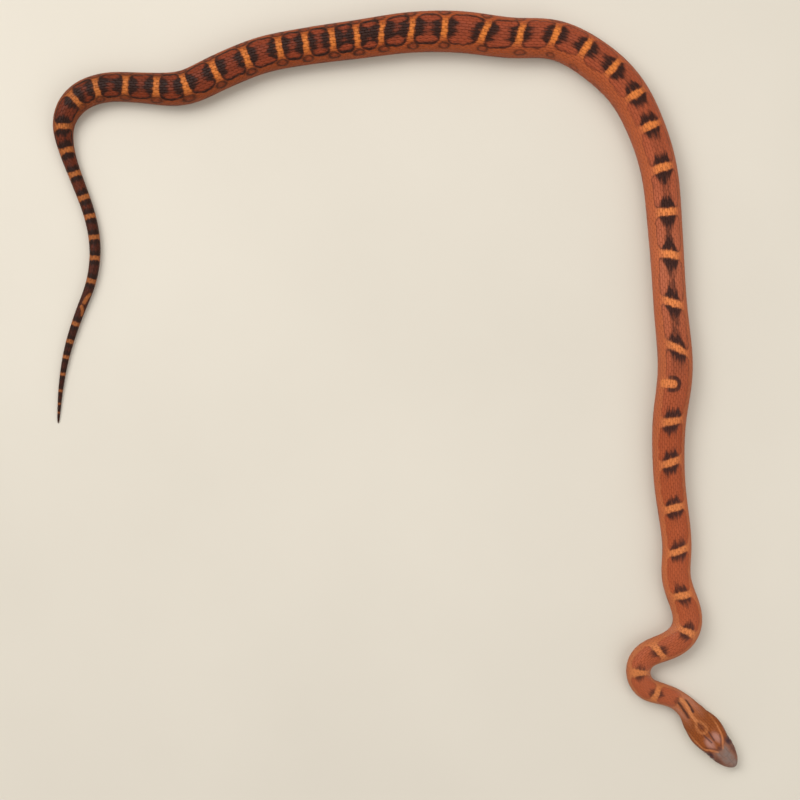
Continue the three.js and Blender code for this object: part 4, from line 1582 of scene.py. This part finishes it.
@dataclass
class ScaleRows:
    """The scales of one band of rows, joined as one mesh."""

    coat: Coat
    region: Region
    first_row: int
    last_row: int
    along: int = 8
    across: int = 5
    root: float = -0.28
    length: float = 1.40
    half_width: float = 0.68
    jitter: float = 0.03
    outermost: float = 0.25
    own_colour: float = 0.2
    leaf_root: float = 0.09
    leaf_span: float = 0.865
    leaf_lean: float = 0.82
    leaf_fullness: float = 0.62
    rise_length: float = 0.4
    keel: float = 0.02
    keel_width: float = 0.3
    keel_rows: int = 6
    middle: float = 0.45
    rim_shade_from: float = 0.6
    strips: int = 8
    patch_long: float = 0.012
    patch_wide: float = 0.0013
    patch_gap: float = 0.0018
    strip_lead: float = 0.9
    strip_room: float = 1.6
    row_lead: float = 0.6
    row_room: float = 0.5
    nape_start: Profile = Profile(((0, 22.9), (2, 23.3), (5, 23.0), (8, 23.0), (10, 24.6), (12, 25.6)))
    throat_start: Profile = Profile(((0, 15.6), (2, 16.2), (3.5, 19), (5, 24.6)))
    throat_end: float = 35.0
    floor_room: float = 0.06

    def _seats(self) -> tuple[Array, Array]:
        """Where the scales sit.

        Returns:
            The column and the row of each scale.
        """
        lattice = self.coat.lattice
        seats = []
        for row in range(self.first_row, self.last_row + 1):
            column = np.arange(1, int(lattice.last) - 1) + 0.5 * (row % 2)
            s = lattice.along(column)
            if self.region is Region.THROAT:
                keep = (s > self.throat_start(abs(row))) & (s < self.throat_end)
            else:
                keep = (np.abs(row) <= lattice.rows(s) - self.outermost) & (s > self.nape_start(abs(row)))
            seats.append(np.stack([column[keep], np.full(keep.sum(), float(row))], -1))
        return tuple(np.vstack(seats).T)

    def _round(self, s: Array, row: Array) -> Array:
        """Arc length of a row, from the ridge or from the belly's middle."""
        base = self.coat.form.half_girth(s) if self.region is Region.THROAT else 0.0
        return base + row * self.coat.lattice.row_width(s)

    def _settled(self, up: Array) -> Array:
        """Heights eased to stay off the floor, keeping a little of the relief."""
        room = self.floor_room
        return np.where(up < room, room * np.exp((np.minimum(up, room) - room) / room), up)

    def build(self) -> bpy.types.Object:
        """Make the scales.

        Returns:
            The joined scales' object.
        """
        lattice, form = self.coat.lattice, self.coat.form
        column, row = self._seats()
        rng = np.random.default_rng(SEED + self.first_row)
        a = np.linspace(0, 1, self.along)[None, :, None]
        b = np.linspace(-1, 1, self.across)[None, None, :]
        ahead = (self.leaf_root + self.leaf_span * a) ** self.leaf_lean
        leaf = np.sin(np.pi * ahead) ** self.leaf_fullness
        size = 1 + self.jitter * rng.standard_normal((len(column), 1, 1))
        shift = self.jitter * rng.standard_normal((len(column), 1, 1))
        where = column[:, None, None] + self.root + self.length * size * a + shift + 0 * b
        s = lattice.within(where)
        u = self._round(s, row[:, None, None] + b * leaf * self.half_width)
        rise = smoothstep(a, 0, self.rise_length)
        lift = lerp(self.coat.lift_root, self.coat.lift_tip, a) + self.coat.crown * (1 - b**2) * leaf * rise
        keel = self.keel * bump(b, 0, self.keel_width) * leaf * (np.abs(row)[:, None, None] < self.keel_rows)
        height = (lift + keel) * lattice.fineness(s) - self.coat.thickness(s)
        place = form.point(s, u) + form.normal(s, u) * height[..., None]
        place[..., 2] = self._settled(place[..., 2])
        x, y = (v[:, None, None] for v in self._patches(column, row))
        x, y = x + (a - 0.5) * self.patch_long, y + b * leaf * self.patch_wide
        plates = PlateMesh(self.along, self.across)
        made = plates.make(self.region.value, place, (x, y - self.patch_gap), (x, y + self.patch_gap))
        centre = lattice.along(column + self.middle)
        whole = self.coat.markings.at(centre, self._round(centre, row)).packed()
        local = self.coat.markings.at(s.ravel(), u.ravel()).packed()
        per_scale = self.along * self.across
        mixed = {
            name: lerp(local[name], np.repeat(whole[name], per_scale, axis=0), self.own_colour)
            for name in local
        }
        # Darker sides and tips of each scale: partly their own darker edges, partly painted shade between
        # scales.
        rim = np.maximum(np.abs(b) ** 2, smoothstep(a, self.rim_shade_from, 1))
        tone = rng.uniform(0, 1, (len(column), 1, 1))
        shades = [np.broadcast_to(v, s.shape) for v in (rim, a, tone)]
        mixed["scale"] = np.stack(shades, -1).reshape(-1, 3)
        store(made, mixed)
        return made

    def _patches(self, column: Array, row: Array) -> Places:
        """Where each scale lies in the bake map, laid out as on the unrolled skin.

        Args:
            column: each scale's column.
            row: each scale's row.

        Returns:
            Places across and up the map.
        """
        strips = 1 if self.region is Region.THROAT else self.strips
        first = np.floor(column.min())
        per_strip = np.ceil((column.max() - first + 1) / strips)
        strip = np.floor((column - first) / per_strip)
        x = (column - first - strip * per_strip + self.strip_lead) / (per_strip + self.strip_room)
        high = self.last_row - self.first_row + 1 + self.row_room
        return x, (strip * high + row - self.first_row + self.row_lead) / (strips * high)


@dataclass
class BellyScutes:
    """The broad plates of the belly and the paired ones under the tail."""

    coat: Coat
    first: float = 34.0
    along: int = 5
    across: int = 17
    overlap: float = 0.35
    root: float = -0.22
    length: float = 1.34
    corner: float = 0.35
    corner_power: int = 6
    lift: float = 0.19
    middle: float = 0.45
    rim_shade_from: float = 0.7
    vent_room: float = 4.0
    half_plates: Range = (0.512, 0.488)
    strips: int = 8
    patch: float = 0.0085
    under_gap: float = 1.3
    strip_lead: float = 0.4
    strip_room: float = 1.2
    strip_margin: float = 0.06

    def _seats(self) -> Array:
        """Where the plates sit.

        Returns:
            The column of each plate, and where it starts and ends as shares from edge to edge.
        """
        lattice, form = self.coat.lattice, self.coat.form
        last = int(lattice.last) - 2
        columns = np.arange(int(np.ceil(lattice.column_at(self.first))), last)
        body = columns[lattice.along(columns) < form.vent - self.vent_room]
        tail = columns[len(body):]
        whole = [(c, 0.0, 1.0) for c in body]
        end, start = self.half_plates
        halves = [seat for c in tail for seat in ((c, 0.0, end), (c + 0.5, start, 1.0))]
        return np.array(whole + halves).T

    def build(self) -> bpy.types.Object:
        """Make the plates.

        Returns:
            The joined plates' object.
        """
        lattice, form = self.coat.lattice, self.coat.form
        column, start, end = (v[:, None, None] for v in self._seats())
        a = np.linspace(0, 1, self.along)[None, :, None]
        b = np.linspace(0, 1, self.across)[None, None, :]
        round_end = 1 - self.corner * np.abs(2 * b - 1) ** self.corner_power
        s = lattice.within(column + self.root + self.length * a * round_end)
        edge = form.belly_edge(s) - self.overlap * lattice.row_width(s)
        share = lerp(start, end, b)
        u = lerp(edge, 2 * form.half_girth(s) - edge, share)
        height = self.lift * a * lattice.fineness(s) - self.coat.thickness(s)
        place = form.point(s, u) + form.normal(s, u) * height[..., None]
        place[..., 2] = np.maximum(place[..., 2], 0.0)
        per_strip = np.ceil(lattice.last / self.strips)
        strip = np.floor(column / per_strip)
        x = (column - strip * per_strip + self.strip_lead) / (per_strip + self.strip_room) + a * self.patch
        y = (strip + lerp(self.strip_margin, 1 - self.strip_margin, share)) / self.strips
        plates = PlateMesh(self.along, self.across)
        made = plates.make("belly_scutes", place, (x, y), (x + self.under_gap * self.patch, y))
        middle = np.broadcast_to(lattice.along(column + self.middle), s.shape)
        marks = self.coat.markings.at(middle.ravel(), u.ravel()).packed()
        tone = np.random.default_rng(SEED + 90).uniform(0, 1, (len(column), 1, 1))
        # Darker rear edge of each plate: partly its own edge colour, partly painted shade.
        shades = [np.broadcast_to(v, s.shape) for v in (smoothstep(a, self.rim_shade_from, 1), a, tone)]
        marks["scale"] = np.stack(shades, -1).reshape(-1, 3)
        store(made, marks)
        return made


@dataclass
class Eyes:
    """The two eyes, each a smooth dome under a clear scale."""

    form: BodyForm
    place: float = 12.6
    out: float = 6.0
    height: float = 6.35
    radius: float = 1.95
    depth: float = 1.3
    tilt_up: float = 20.0
    turn_forward: float = 9.0
    rings: int = 40
    sides: int = 64

    def axis(self, side: int) -> tuple[Array, Array]:
        """Middle of an eye and the way it looks.

        Args:
            side: 1 for the left eye and -1 for the right.

        Returns:
            The eye's middle and a unit vector.
        """
        back = np.array([*self.form.spine.direction, 0.0])
        back /= np.linalg.norm(back)
        left = np.array([back[1], -back[0], 0.0])
        top = np.array([0, 0, 1.0])
        middle = np.array([*self.form.spine.snout, 0.0]) + back * self.place
        middle = middle + left * side * self.out + top * self.height
        level, ahead = np.cos(np.radians(self.tilt_up)), np.radians(self.turn_forward)
        look = -back * level * np.sin(ahead) + left * side * level * np.cos(ahead)
        return middle, look + top * np.sin(np.radians(self.tilt_up))

    def build(self, side: int) -> bpy.types.Object:
        """Make one eye.

        Args:
            side: 1 for the left eye and -1 for the right.

        Returns:
            The eye's object.
        """
        middle, look = self.axis(side)
        right = np.cross([0, 0, 1.0], look)
        right /= np.linalg.norm(right)
        top = np.cross(look, right)
        polar = np.linspace(0, np.pi, self.rings + 2)[1:-1, None]
        round_ = np.linspace(0, 2 * np.pi, self.sides, endpoint=False)[None, :]
        x = self.radius * np.sin(polar) * np.cos(round_)
        y = self.radius * np.sin(polar) * np.sin(round_)
        z = self.depth * np.cos(polar) + 0 * round_
        ball = middle + x[..., None] * right + y[..., None] * top + z[..., None] * look
        poles = middle + np.array([[self.depth], [-self.depth]]) * look
        corners = np.vstack([ball.reshape(-1, 3), poles])
        j = np.arange(self.sides)
        k = (j + 1) % self.sides
        ring = (np.arange(self.rings - 1) * self.sides)[:, None]
        quads = np.stack([ring + j, ring + self.sides + j, ring + self.sides + k, ring + k], -1)
        near = np.stack([np.full_like(j, len(corners) - 2), j, k], -1)
        base = (self.rings - 1) * self.sides
        far = np.stack([np.full_like(j, len(corners) - 1), base + k, base + j], -1)
        name = "eyeball_left" if side > 0 else "eyeball_right"
        made = new_mesh(name, corners, [quads.reshape(-1, 4), near, far], [True] * 3)
        offset = corners - middle
        flat = np.stack([offset @ right, offset @ top, offset @ look], -1) / self.radius
        store(made, {"look": flat})
        return made


def srgb(red: int, green: int, blue: int) -> Colour:
    """A colour as the materials need it.

    Args:
        red: its red, out of 255.
        green: its green, out of 255.
        blue: its blue, out of 255.

    Returns:
        The colour in linear light, opaque.
    """
    shades = np.array([red, green, blue]) / 255
    low = shades / 12.92
    high = ((shades + 0.055) / 1.055) ** 2.4
    linear = np.where(shades <= 0.04045, low, high)
    return (*(float(v) for v in linear), 1.0)


@dataclass(frozen=True)
class Palette:
    """The animal's colours, with those of its painted highlights and painted shade. Stops run from the snout,
    at 0, to the tip of the tail, at 1.
    """

    ground: Stops = (
        (0.07, srgb(174, 101, 62)), (0.17, srgb(180, 97, 56)), (0.25, srgb(168, 88, 51)),
        (0.35, srgb(174, 92, 56)), (0.45, srgb(162, 80, 45)), (0.6, srgb(148, 67, 27)),
        (0.8, srgb(128, 60, 26)), (0.95, srgb(114, 54, 25)),
    )
    saddle: Stops = (
        (0.07, srgb(160, 80, 48)), (0.17, srgb(160, 76, 42)), (0.25, srgb(150, 69, 37)),
        (0.34, srgb(168, 90, 60)), (0.42, srgb(158, 76, 46)), (0.5, srgb(144, 65, 38)),
        (0.63, srgb(130, 54, 28)), (0.75, srgb(114, 46, 21)), (0.95, srgb(80, 32, 16)),
    )
    bar: Stops = (
        (0.07, srgb(190, 113, 63)), (0.17, srgb(204, 120, 66)), (0.25, srgb(196, 112, 60)),
        (0.34, srgb(212, 124, 68)), (0.5, srgb(201, 112, 46)), (0.62, srgb(190, 105, 42)),
        (0.72, srgb(190, 106, 44)), (0.82, srgb(160, 90, 42)), (0.95, srgb(144, 82, 40)),
    )
    black: Stops = ((0.25, srgb(44, 24, 22)), (0.55, srgb(40, 19, 11)), (0.9, srgb(38, 17, 9)))
    cream: Stops = ((0.03, srgb(228, 212, 190)), (0.2, srgb(234, 208, 176)), (0.9, srgb(226, 182, 134)))
    speckling: Stops = ((0.4, srgb(60, 60, 60)), (0.62, srgb(200, 200, 200)))
    head: Colour = srgb(134, 69, 29)
    speck: Colour = srgb(58, 26, 16)
    # Snout grey: partly its own colour, partly a painted highlight.
    snout: Colour = srgb(121, 102, 94)
    # Pinkish lilac of the crown's painted highlight, also the neck's tint and creases.
    sheen: Colour = srgb(172, 126, 114)
    head_black: Colour = srgb(56, 34, 38)
    belly_black: Colour = srgb(52, 44, 44)
    pale: Colour = srgb(190, 118, 70)
    # Dark brown of the scales' edges: partly their own colour, partly painted shade.
    rim: Colour = srgb(60, 34, 24)
    # Dark of the head's seams: partly their own sutures, partly painted shade.
    crease: Colour = srgb(52, 30, 26)
    # Near black of the eye sockets, nostrils and mouth line: painted shade.
    opening: Colour = srgb(30, 16, 16)


class Graph:
    """A material's or a group's nodes, added and joined by short calls."""

    def __init__(self, tree: bpy.types.NodeTree) -> None:
        """Work on a tree."""
        self.tree = tree

    def add(self, kind: str, **settings: object) -> bpy.types.Node:
        """A new node.

        Args:
            kind: the node's type.
            settings: its own settings by name.

        Returns:
            The node.
        """
        node = self.tree.nodes.new(kind)
        for name, value in settings.items():
            setattr(node, name, value)
        return node

    def set(self, socket: Socket, value: object) -> None:
        """Feed a socket from another one, or with a value."""
        if isinstance(value, Socket):
            self.tree.links.new(value, socket)
        else:
            socket.default_value = value

    def math(self, operation: str, a: object, b: object = 0.0, c: object = 0.0) -> Socket:
        """The result of a sum.

        Args:
            operation: which sum.
            a: its first value or the socket that gives it.
            b: its second.
            c: its third, for the sums that have one.

        Returns:
            The socket that holds the result.
        """
        node = self.add("ShaderNodeMath", operation=operation)
        for socket, value in zip(node.inputs, (a, b, c)):
            self.set(socket, value)
        return node.outputs[0]

    def mix(self, share: object, a: object, b: object, blend: str = "MIX") -> Socket:
        """A colour between two.

        Args:
            share: how much of the second.
            a: the first colour.
            b: the second colour.
            blend: how they mix.

        Returns:
            The socket that holds the colour.
        """
        node = self.add("ShaderNodeMix", data_type="RGBA", blend_type=blend)
        self.set(node.inputs[0], share)
        self.set(node.inputs[6], a)
        self.set(node.inputs[7], b)
        return node.outputs[2]

    def noise(self, scale: float, detail: float) -> Socket:
        """Soft random values over the object, about 0.5.

        Args:
            scale: how many cells to a metre.
            detail: how many finer layers.

        Returns:
            The socket that holds the values.
        """
        node = self.add("ShaderNodeTexNoise")
        node.inputs["Scale"].default_value = scale
        node.inputs["Detail"].default_value = detail
        self.set(node.inputs["Vector"], self.add("ShaderNodeTexCoord").outputs["Object"])
        return node.outputs["Fac"]

    def ramp(self, share: object, stops: Stops) -> Socket:
        """A colour from a row of stops.

        Args:
            share: the place on the row, from 0 to 1.
            stops: places and their colours.

        Returns:
            The socket that holds the colour.
        """
        node = self.add("ShaderNodeValToRGB")
        marks = node.color_ramp.elements
        while len(marks) < len(stops):
            marks.new(0.5)
        for mark, (place, colour) in zip(marks, stops):
            mark.position = place
            mark.color = colour
        self.set(node.inputs[0], share)
        return node.outputs[0]

    def split(self, name: str) -> list[Socket]:
        """The three values kept on the piece's corners under a name.

        Args:
            name: the name that store kept them under.

        Returns:
            A socket for each value.
        """
        held = self.add("ShaderNodeAttribute", attribute_name=name)
        parts = self.add("ShaderNodeSeparateXYZ")
        self.set(parts.inputs[0], held.outputs["Vector"])
        return list(parts.outputs)

    def place_group(self, group: bpy.types.NodeTree, **values: object) -> bpy.types.Node:
        """A shared group with this material's own values.

        Args:
            group: the node group.
            values: its inputs by name, in lower case.

        Returns:
            The group's node.
        """
        node = self.add("ShaderNodeGroup", node_tree=group)
        for name, value in values.items():
            self.set(node.inputs[name.replace("_", " ").capitalize()], value)
        return node


@dataclass
class SharedEffects:
    """The node groups that more than one finish uses."""

    palette: Palette = Palette()
    speck_scale: float = 760.0
    speck_edge: Range = (0.5, 0.72)
    speck_share: float = 0.55
    highlight_and_tint_share: float = 0.8
    mottle_scale: float = 900.0
    mottle: Range = (0.26, 0.87)
    tone: Range = (0.08, 0.96)
    fine_scale: float = 5200.0
    coarse_scale: float = 1400.0
    roughness: Range = (0.22, 0.30)

    def __post_init__(self) -> None:
        """Build each group once."""
        self.markings = self._markings()
        self.grain = self._grain()

    @staticmethod
    def _group(name: str, inputs: dict[str, str], outputs: dict[str, str]) -> tuple:
        """An empty group.

        Args:
            name: the group's name.
            inputs: the type of each input by name.
            outputs: the type of each output by name.

        Returns:
            The group's graph, the sockets its values come from and those its results go to.
        """
        tree = bpy.data.node_groups.new(name, "ShaderNodeTree")
        for label, kind in inputs.items():
            tree.interface.new_socket(name=label, in_out="INPUT", socket_type=kind)
        for label, kind in outputs.items():
            tree.interface.new_socket(name=label, in_out="OUTPUT", socket_type=kind)
        graph = Graph(tree)
        start = graph.add("NodeGroupInput")
        end = graph.add("NodeGroupOutput")
        return graph, start.outputs, end.inputs

    def _markings(self) -> bpy.types.NodeTree:
        """The animal's colours from the shares of each marking, a painted highlight among them.

        Returns:
            The node group.
        """
        names = ("Bar", "Saddle", "Black", "Pale", "Snout", "Sheen", "Rear", "Belly", "Head", "Tone")
        graph, given, out = self._group(
            "snake_markings", {n: "NodeSocketFloat" for n in names}, {"Colour": "NodeSocketColor"}
        )
        paints, rear = self.palette, given["Rear"]
        ground = graph.ramp(rear, paints.ground)
        colour = graph.mix(given["Head"], ground, paints.head)
        speck = graph.add("ShaderNodeMapRange", interpolation_type="SMOOTHSTEP")
        graph.set(speck.inputs["Value"], graph.noise(self.speck_scale, 2.0))
        speck.inputs["From Min"].default_value, speck.inputs["From Max"].default_value = self.speck_edge
        specks = graph.math("MULTIPLY", speck.outputs[0], self.speck_share)
        specks = graph.math("MULTIPLY", specks, graph.ramp(rear, paints.speckling))
        saddle = graph.mix(specks, graph.ramp(rear, paints.saddle), paints.speck)
        colour = graph.mix(given["Saddle"], colour, saddle)
        colour = graph.mix(given["Bar"], colour, graph.ramp(rear, paints.bar))
        # The snout's grey, partly a painted highlight.
        colour = graph.mix(given["Snout"], colour, paints.snout)
        # The crown's painted highlight, with the neck's tint and creases, mixed in one pinkish colour.
        sheen = graph.math("MULTIPLY", given["Sheen"], self.highlight_and_tint_share)
        colour = graph.mix(sheen, colour, paints.sheen)
        black = graph.mix(given["Head"], graph.ramp(rear, paints.black), paints.head_black)
        black = graph.mix(given["Belly"], black, paints.belly_black)
        colour = graph.mix(given["Belly"], colour, graph.ramp(rear, paints.cream))
        colour = graph.mix(given["Black"], colour, black)
        colour = graph.mix(given["Pale"], colour, paints.pale)
        mottle = graph.math("MULTIPLY_ADD", graph.noise(self.mottle_scale, 3.0), *self.mottle)
        shade = graph.math("MULTIPLY", mottle, graph.math("MULTIPLY_ADD", given["Tone"], *self.tone))
        grey = graph.add("ShaderNodeCombineColor")
        for socket in grey.inputs[:3]:
            graph.set(socket, shade)
        graph.set(out["Colour"], graph.mix(1.0, colour, grey.outputs[0], "MULTIPLY"))
        return graph.tree

    def _grain(self) -> bpy.types.NodeTree:
        """Fine unevenness of the surface: a height and a change of roughness.

        Returns:
            The node group.
        """
        value = "NodeSocketFloat"
        graph, given, out = self._group(
            "fine_grain", {"Strength": value}, {"Height": value, "Roughness": value}
        )
        fine = graph.noise(self.fine_scale, 2.0)
        coarse = graph.noise(self.coarse_scale, 3.0)
        both = graph.math("ADD", graph.math("MULTIPLY", fine, 0.5), graph.math("MULTIPLY", coarse, 0.5))
        graph.set(out["Height"], graph.math("MULTIPLY", both, given["Strength"]))
        graph.set(out["Roughness"], graph.math("MULTIPLY_ADD", coarse, *self.roughness))
        return graph.tree


@dataclass(frozen=True)
class HideFinish:
    """The look of skin, scales or belly plates: one pattern, with its own gloss and relief, and painted shade
    at scale edges, seams and openings.
    """

    name: str
    effects: SharedEffects
    relief: float
    gloss: float
    has_scales: bool = True
    rim_shade_share: float = 0.05
    rim_shade_depth: float = 0.6
    crease_share: float = 0.28
    opening_shade_share: float = 0.85
    bump_strength: float = 0.5
    bump_distance: float = 0.0001

    def material(self) -> bpy.types.Material:
        """Build the material.

        Returns:
            The material.
        """
        made = bpy.data.materials.new(self.name)
        made.use_nodes = True
        graph = Graph(made.node_tree)
        shader = graph.tree.nodes["Principled BSDF"]
        bar, saddle, black = graph.split("pattern")
        pale, snout, sheen = graph.split("face")
        rear, belly, head = graph.split("place")
        colour = graph.place_group(
            self.effects.markings, bar=bar, saddle=saddle, black=black, pale=pale, snout=snout,
            sheen=sheen, rear=rear, belly=belly, head=head, tone=0.5,
        )
        paint, paints = colour.outputs["Colour"], self.effects.palette
        if self.has_scales:
            rim, _, tone = graph.split("scale")
            graph.set(colour.inputs["Tone"], tone)
            # Painted shade at each scale's sides and tip, partly their own darker edges.
            shade = graph.math("MULTIPLY", rim, self.rim_shade_share)
            paint = graph.mix(shade, paint, graph.mix(self.rim_shade_depth, paint, paints.rim))
        else:
            crease, deep, _ = graph.split("relief")
            # Painted shade in the head's seams, partly their own dark sutures.
            paint = graph.mix(graph.math("MULTIPLY", crease, self.crease_share), paint, paints.crease)
            # Painted shade in the eye sockets, nostrils and mouth line.
            paint = graph.mix(graph.math("MULTIPLY", deep, self.opening_shade_share), paint, paints.opening)
        grain = graph.place_group(self.effects.grain, strength=self.relief)
        rise = graph.add("ShaderNodeBump")
        rise.inputs["Strength"].default_value = self.bump_strength
        rise.inputs["Distance"].default_value = self.bump_distance
        graph.set(rise.inputs["Height"], grain.outputs["Height"])
        graph.set(shader.inputs["Base Color"], paint)
        graph.set(shader.inputs["Roughness"], graph.math("ADD", grain.outputs["Roughness"], self.gloss))
        graph.set(shader.inputs["Normal"], rise.outputs[0])
        shader.inputs["IOR"].default_value = 1.45
        shader.inputs["Specular IOR Level"].default_value = 0.16
        return made


@dataclass(frozen=True)
class EyeFinish:
    """Black round pupil, dark orange iris and a wet gloss."""

    colours: Stops = (
        (0.48, srgb(12, 8, 8)), (0.53, srgb(136, 62, 30)), (0.64, srgb(96, 42, 24)),
        (0.80, srgb(56, 26, 20)), (0.95, srgb(26, 18, 18)),
    )
    fibre: Colour = srgb(60, 26, 18)
    fibre_scale: float = 2600.0
    fibre_share: float = 0.35
    roughness: Range = (0.04, 0.04)

    def material(self) -> bpy.types.Material:
        """Build the material.

        Returns:
            The material.
        """
        made = bpy.data.materials.new("eye_gloss")
        made.use_nodes = True
        graph = Graph(made.node_tree)
        shader = graph.tree.nodes["Principled BSDF"]
        x, y, _ = graph.split("look")
        square = graph.math("ADD", graph.math("MULTIPLY", x, x), graph.math("MULTIPLY", y, y))
        far = graph.math("SQRT", square)
        fibres = graph.noise(self.fibre_scale, 4.0)
        share = graph.math("MULTIPLY", fibres, self.fibre_share)
        colour = graph.mix(share, graph.ramp(far, self.colours), self.fibre)
        graph.set(shader.inputs["Base Color"], colour)
        graph.set(shader.inputs["Roughness"], graph.math("MULTIPLY_ADD", fibres, *self.roughness))
        shader.inputs["Specular IOR Level"].default_value = 0.3
        shader.inputs["Coat Weight"].default_value = 1.0
        shader.inputs["Coat IOR"].default_value = 1.36
        shader.inputs["Coat Roughness"].default_value = 0.02
        return made


@dataclass(frozen=True)
class Lamp:
    """A square soft light that faces the floor's middle, in metres and watts."""

    name: str
    place: tuple[float, float, float]
    size: float
    power: float

    def build(self) -> None:
        """Hang the light."""
        data = bpy.data.lights.new(self.name, "AREA")
        data.size = self.size
        data.energy = self.power
        lamp = bpy.data.objects.new(self.name, data)
        lamp.location = self.place
        lamp.rotation_euler = (-Vector(self.place)).to_track_quat("-Z", "Y").to_euler()
        bpy.context.scene.collection.objects.link(lamp)


@dataclass
class Studio:
    """Pale floor, soft lights and the camera that looks straight down."""

    camera_place: tuple[float, float, float] = (2.42, -5.30, 950.0)
    lens: float = 79.9
    sensor: float = 36.0
    farthest: float = 20.0
    floor_half: float = 3000.0
    floor_colours: tuple[Colour, Colour] = (srgb(196, 189, 176), srgb(208, 201, 188))
    room_colour: Colour = (1.0, 0.97, 0.92, 1.0)
    room_strength: float = 0.5
    lamps: tuple[Lamp, ...] = (
        Lamp("key", (-0.75, 0.55, 1.15), 0.9, 15.0),
        Lamp("fill", (0.85, -0.5, 1.05), 1.1, 6.3),
        Lamp("top", (0.1, 0.95, 1.2), 0.8, 5.0),
    )

    def build(self) -> None:
        """Make the floor, lights, world and camera."""
        half = self.floor_half
        corners = np.array([[-half, -half, 0], [half, -half, 0], [half, half, 0], [-half, half, 0.0]])
        floor = new_mesh("studio_floor", corners, [np.array([[0, 1, 2, 3]])], [False])
        paint = bpy.data.materials.new("floor_paint")
        paint.use_nodes = True
        graph = Graph(paint.node_tree)
        shader = graph.tree.nodes["Principled BSDF"]
        cloudy = graph.mix(graph.noise(6.0, 4.0), *self.floor_colours)
        graph.set(shader.inputs["Base Color"], cloudy)
        shader.inputs["Roughness"].default_value = 0.8
        floor.data.materials.append(paint)
        for lamp in self.lamps:
            lamp.build()
        world = bpy.data.worlds.new("soft_room")
        world.use_nodes = True
        light = world.node_tree.nodes["Background"].inputs
        light["Color"].default_value = self.room_colour
        light["Strength"].default_value = self.room_strength
        bpy.context.scene.world = world
        bpy.context.scene.view_settings.view_transform = "Standard"
        data = bpy.data.cameras.new("camera")
        data.lens = self.lens
        data.sensor_width = self.sensor
        data.clip_end = self.farthest
        camera = bpy.data.objects.new("camera", data)
        camera.location = [v * MM for v in self.camera_place]
        bpy.context.scene.collection.objects.link(camera)
        bpy.context.scene.camera = camera


@dataclass
class CornSnake:
    """The whole animal, dressed."""

    eye_slot: str = "eye"
    flesh: tuple[str, ...] = (
        "head", "lower_jaw", "neck_front", "neck_bend", "neck_rear", "forebody_front",
        "forebody_rear", "midbody_front", "midbody_corner", "midbody_rear", "hindbody_front",
        "hindbody_rear", "vent_bend", "tail_base", "tail_middle", "tail_tip",
    )

    def build(self) -> None:
        """Make every piece in order."""
        form = BodyForm(Spine())
        coat = Coat(form, Lattice(form), Markings(form))
        effects = SharedEffects()
        skin_look = HideFinish("snake_skin", effects, relief=0.6, gloss=0.0, has_scales=False).material()
        scale_look = HideFinish("snake_scales", effects, relief=0.4, gloss=0.05).material()
        belly_look = HideFinish("snake_belly", effects, relief=0.3, gloss=-0.05).material()
        eye_look = EyeFinish().material()
        eyes = Eyes(form)
        skin = Skin(coat, HeadPlates(form), FaceOpenings(form, eyes)).build()
        self._finish(skin, skin_look, "ground_skin", *self.flesh)
        self._finish(ScaleRows(coat, Region.BACK, -4, 4).build(), scale_look, "saddle_skin")
        self._finish(ScaleRows(coat, Region.LEFT, 5, 14).build(), scale_look, "ground_skin")
        self._finish(ScaleRows(coat, Region.RIGHT, -14, -5).build(), scale_look, "ground_skin")
        self._finish(ScaleRows(coat, Region.THROAT, -5, 5).build(), belly_look, "jaw_skin")
        self._finish(BellyScutes(coat).build(), belly_look, "jaw_skin")
        self._finish(eyes.build(1), eye_look, self.eye_slot, "eye_left")
        self._finish(eyes.build(-1), eye_look, self.eye_slot, "eye_right")

    @staticmethod
    def _finish(piece: bpy.types.Object, look: bpy.types.Material, slot: str, *nodes: str) -> None:
        """Dress a piece, tie it to its body and hide the solids that it replaces.

        Args:
            piece: the piece.
            look: its material.
            slot: not used.
            nodes: the solids that it replaces, if any.
        """
        piece.data.materials.append(look)
        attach(piece, "root")
        if nodes:
            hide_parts(*nodes)
        piece.data.calc_loop_triangles()
        log.info("%s: %d triangles", piece.name, len(piece.data.loop_triangles))


def main() -> None:
    """Build the snake and its stage."""
    logging.basicConfig(level=logging.INFO, format="%(name)s %(message)s")
    CornSnake().build()
    Studio().build()


if __name__ == "__main__":
    main()
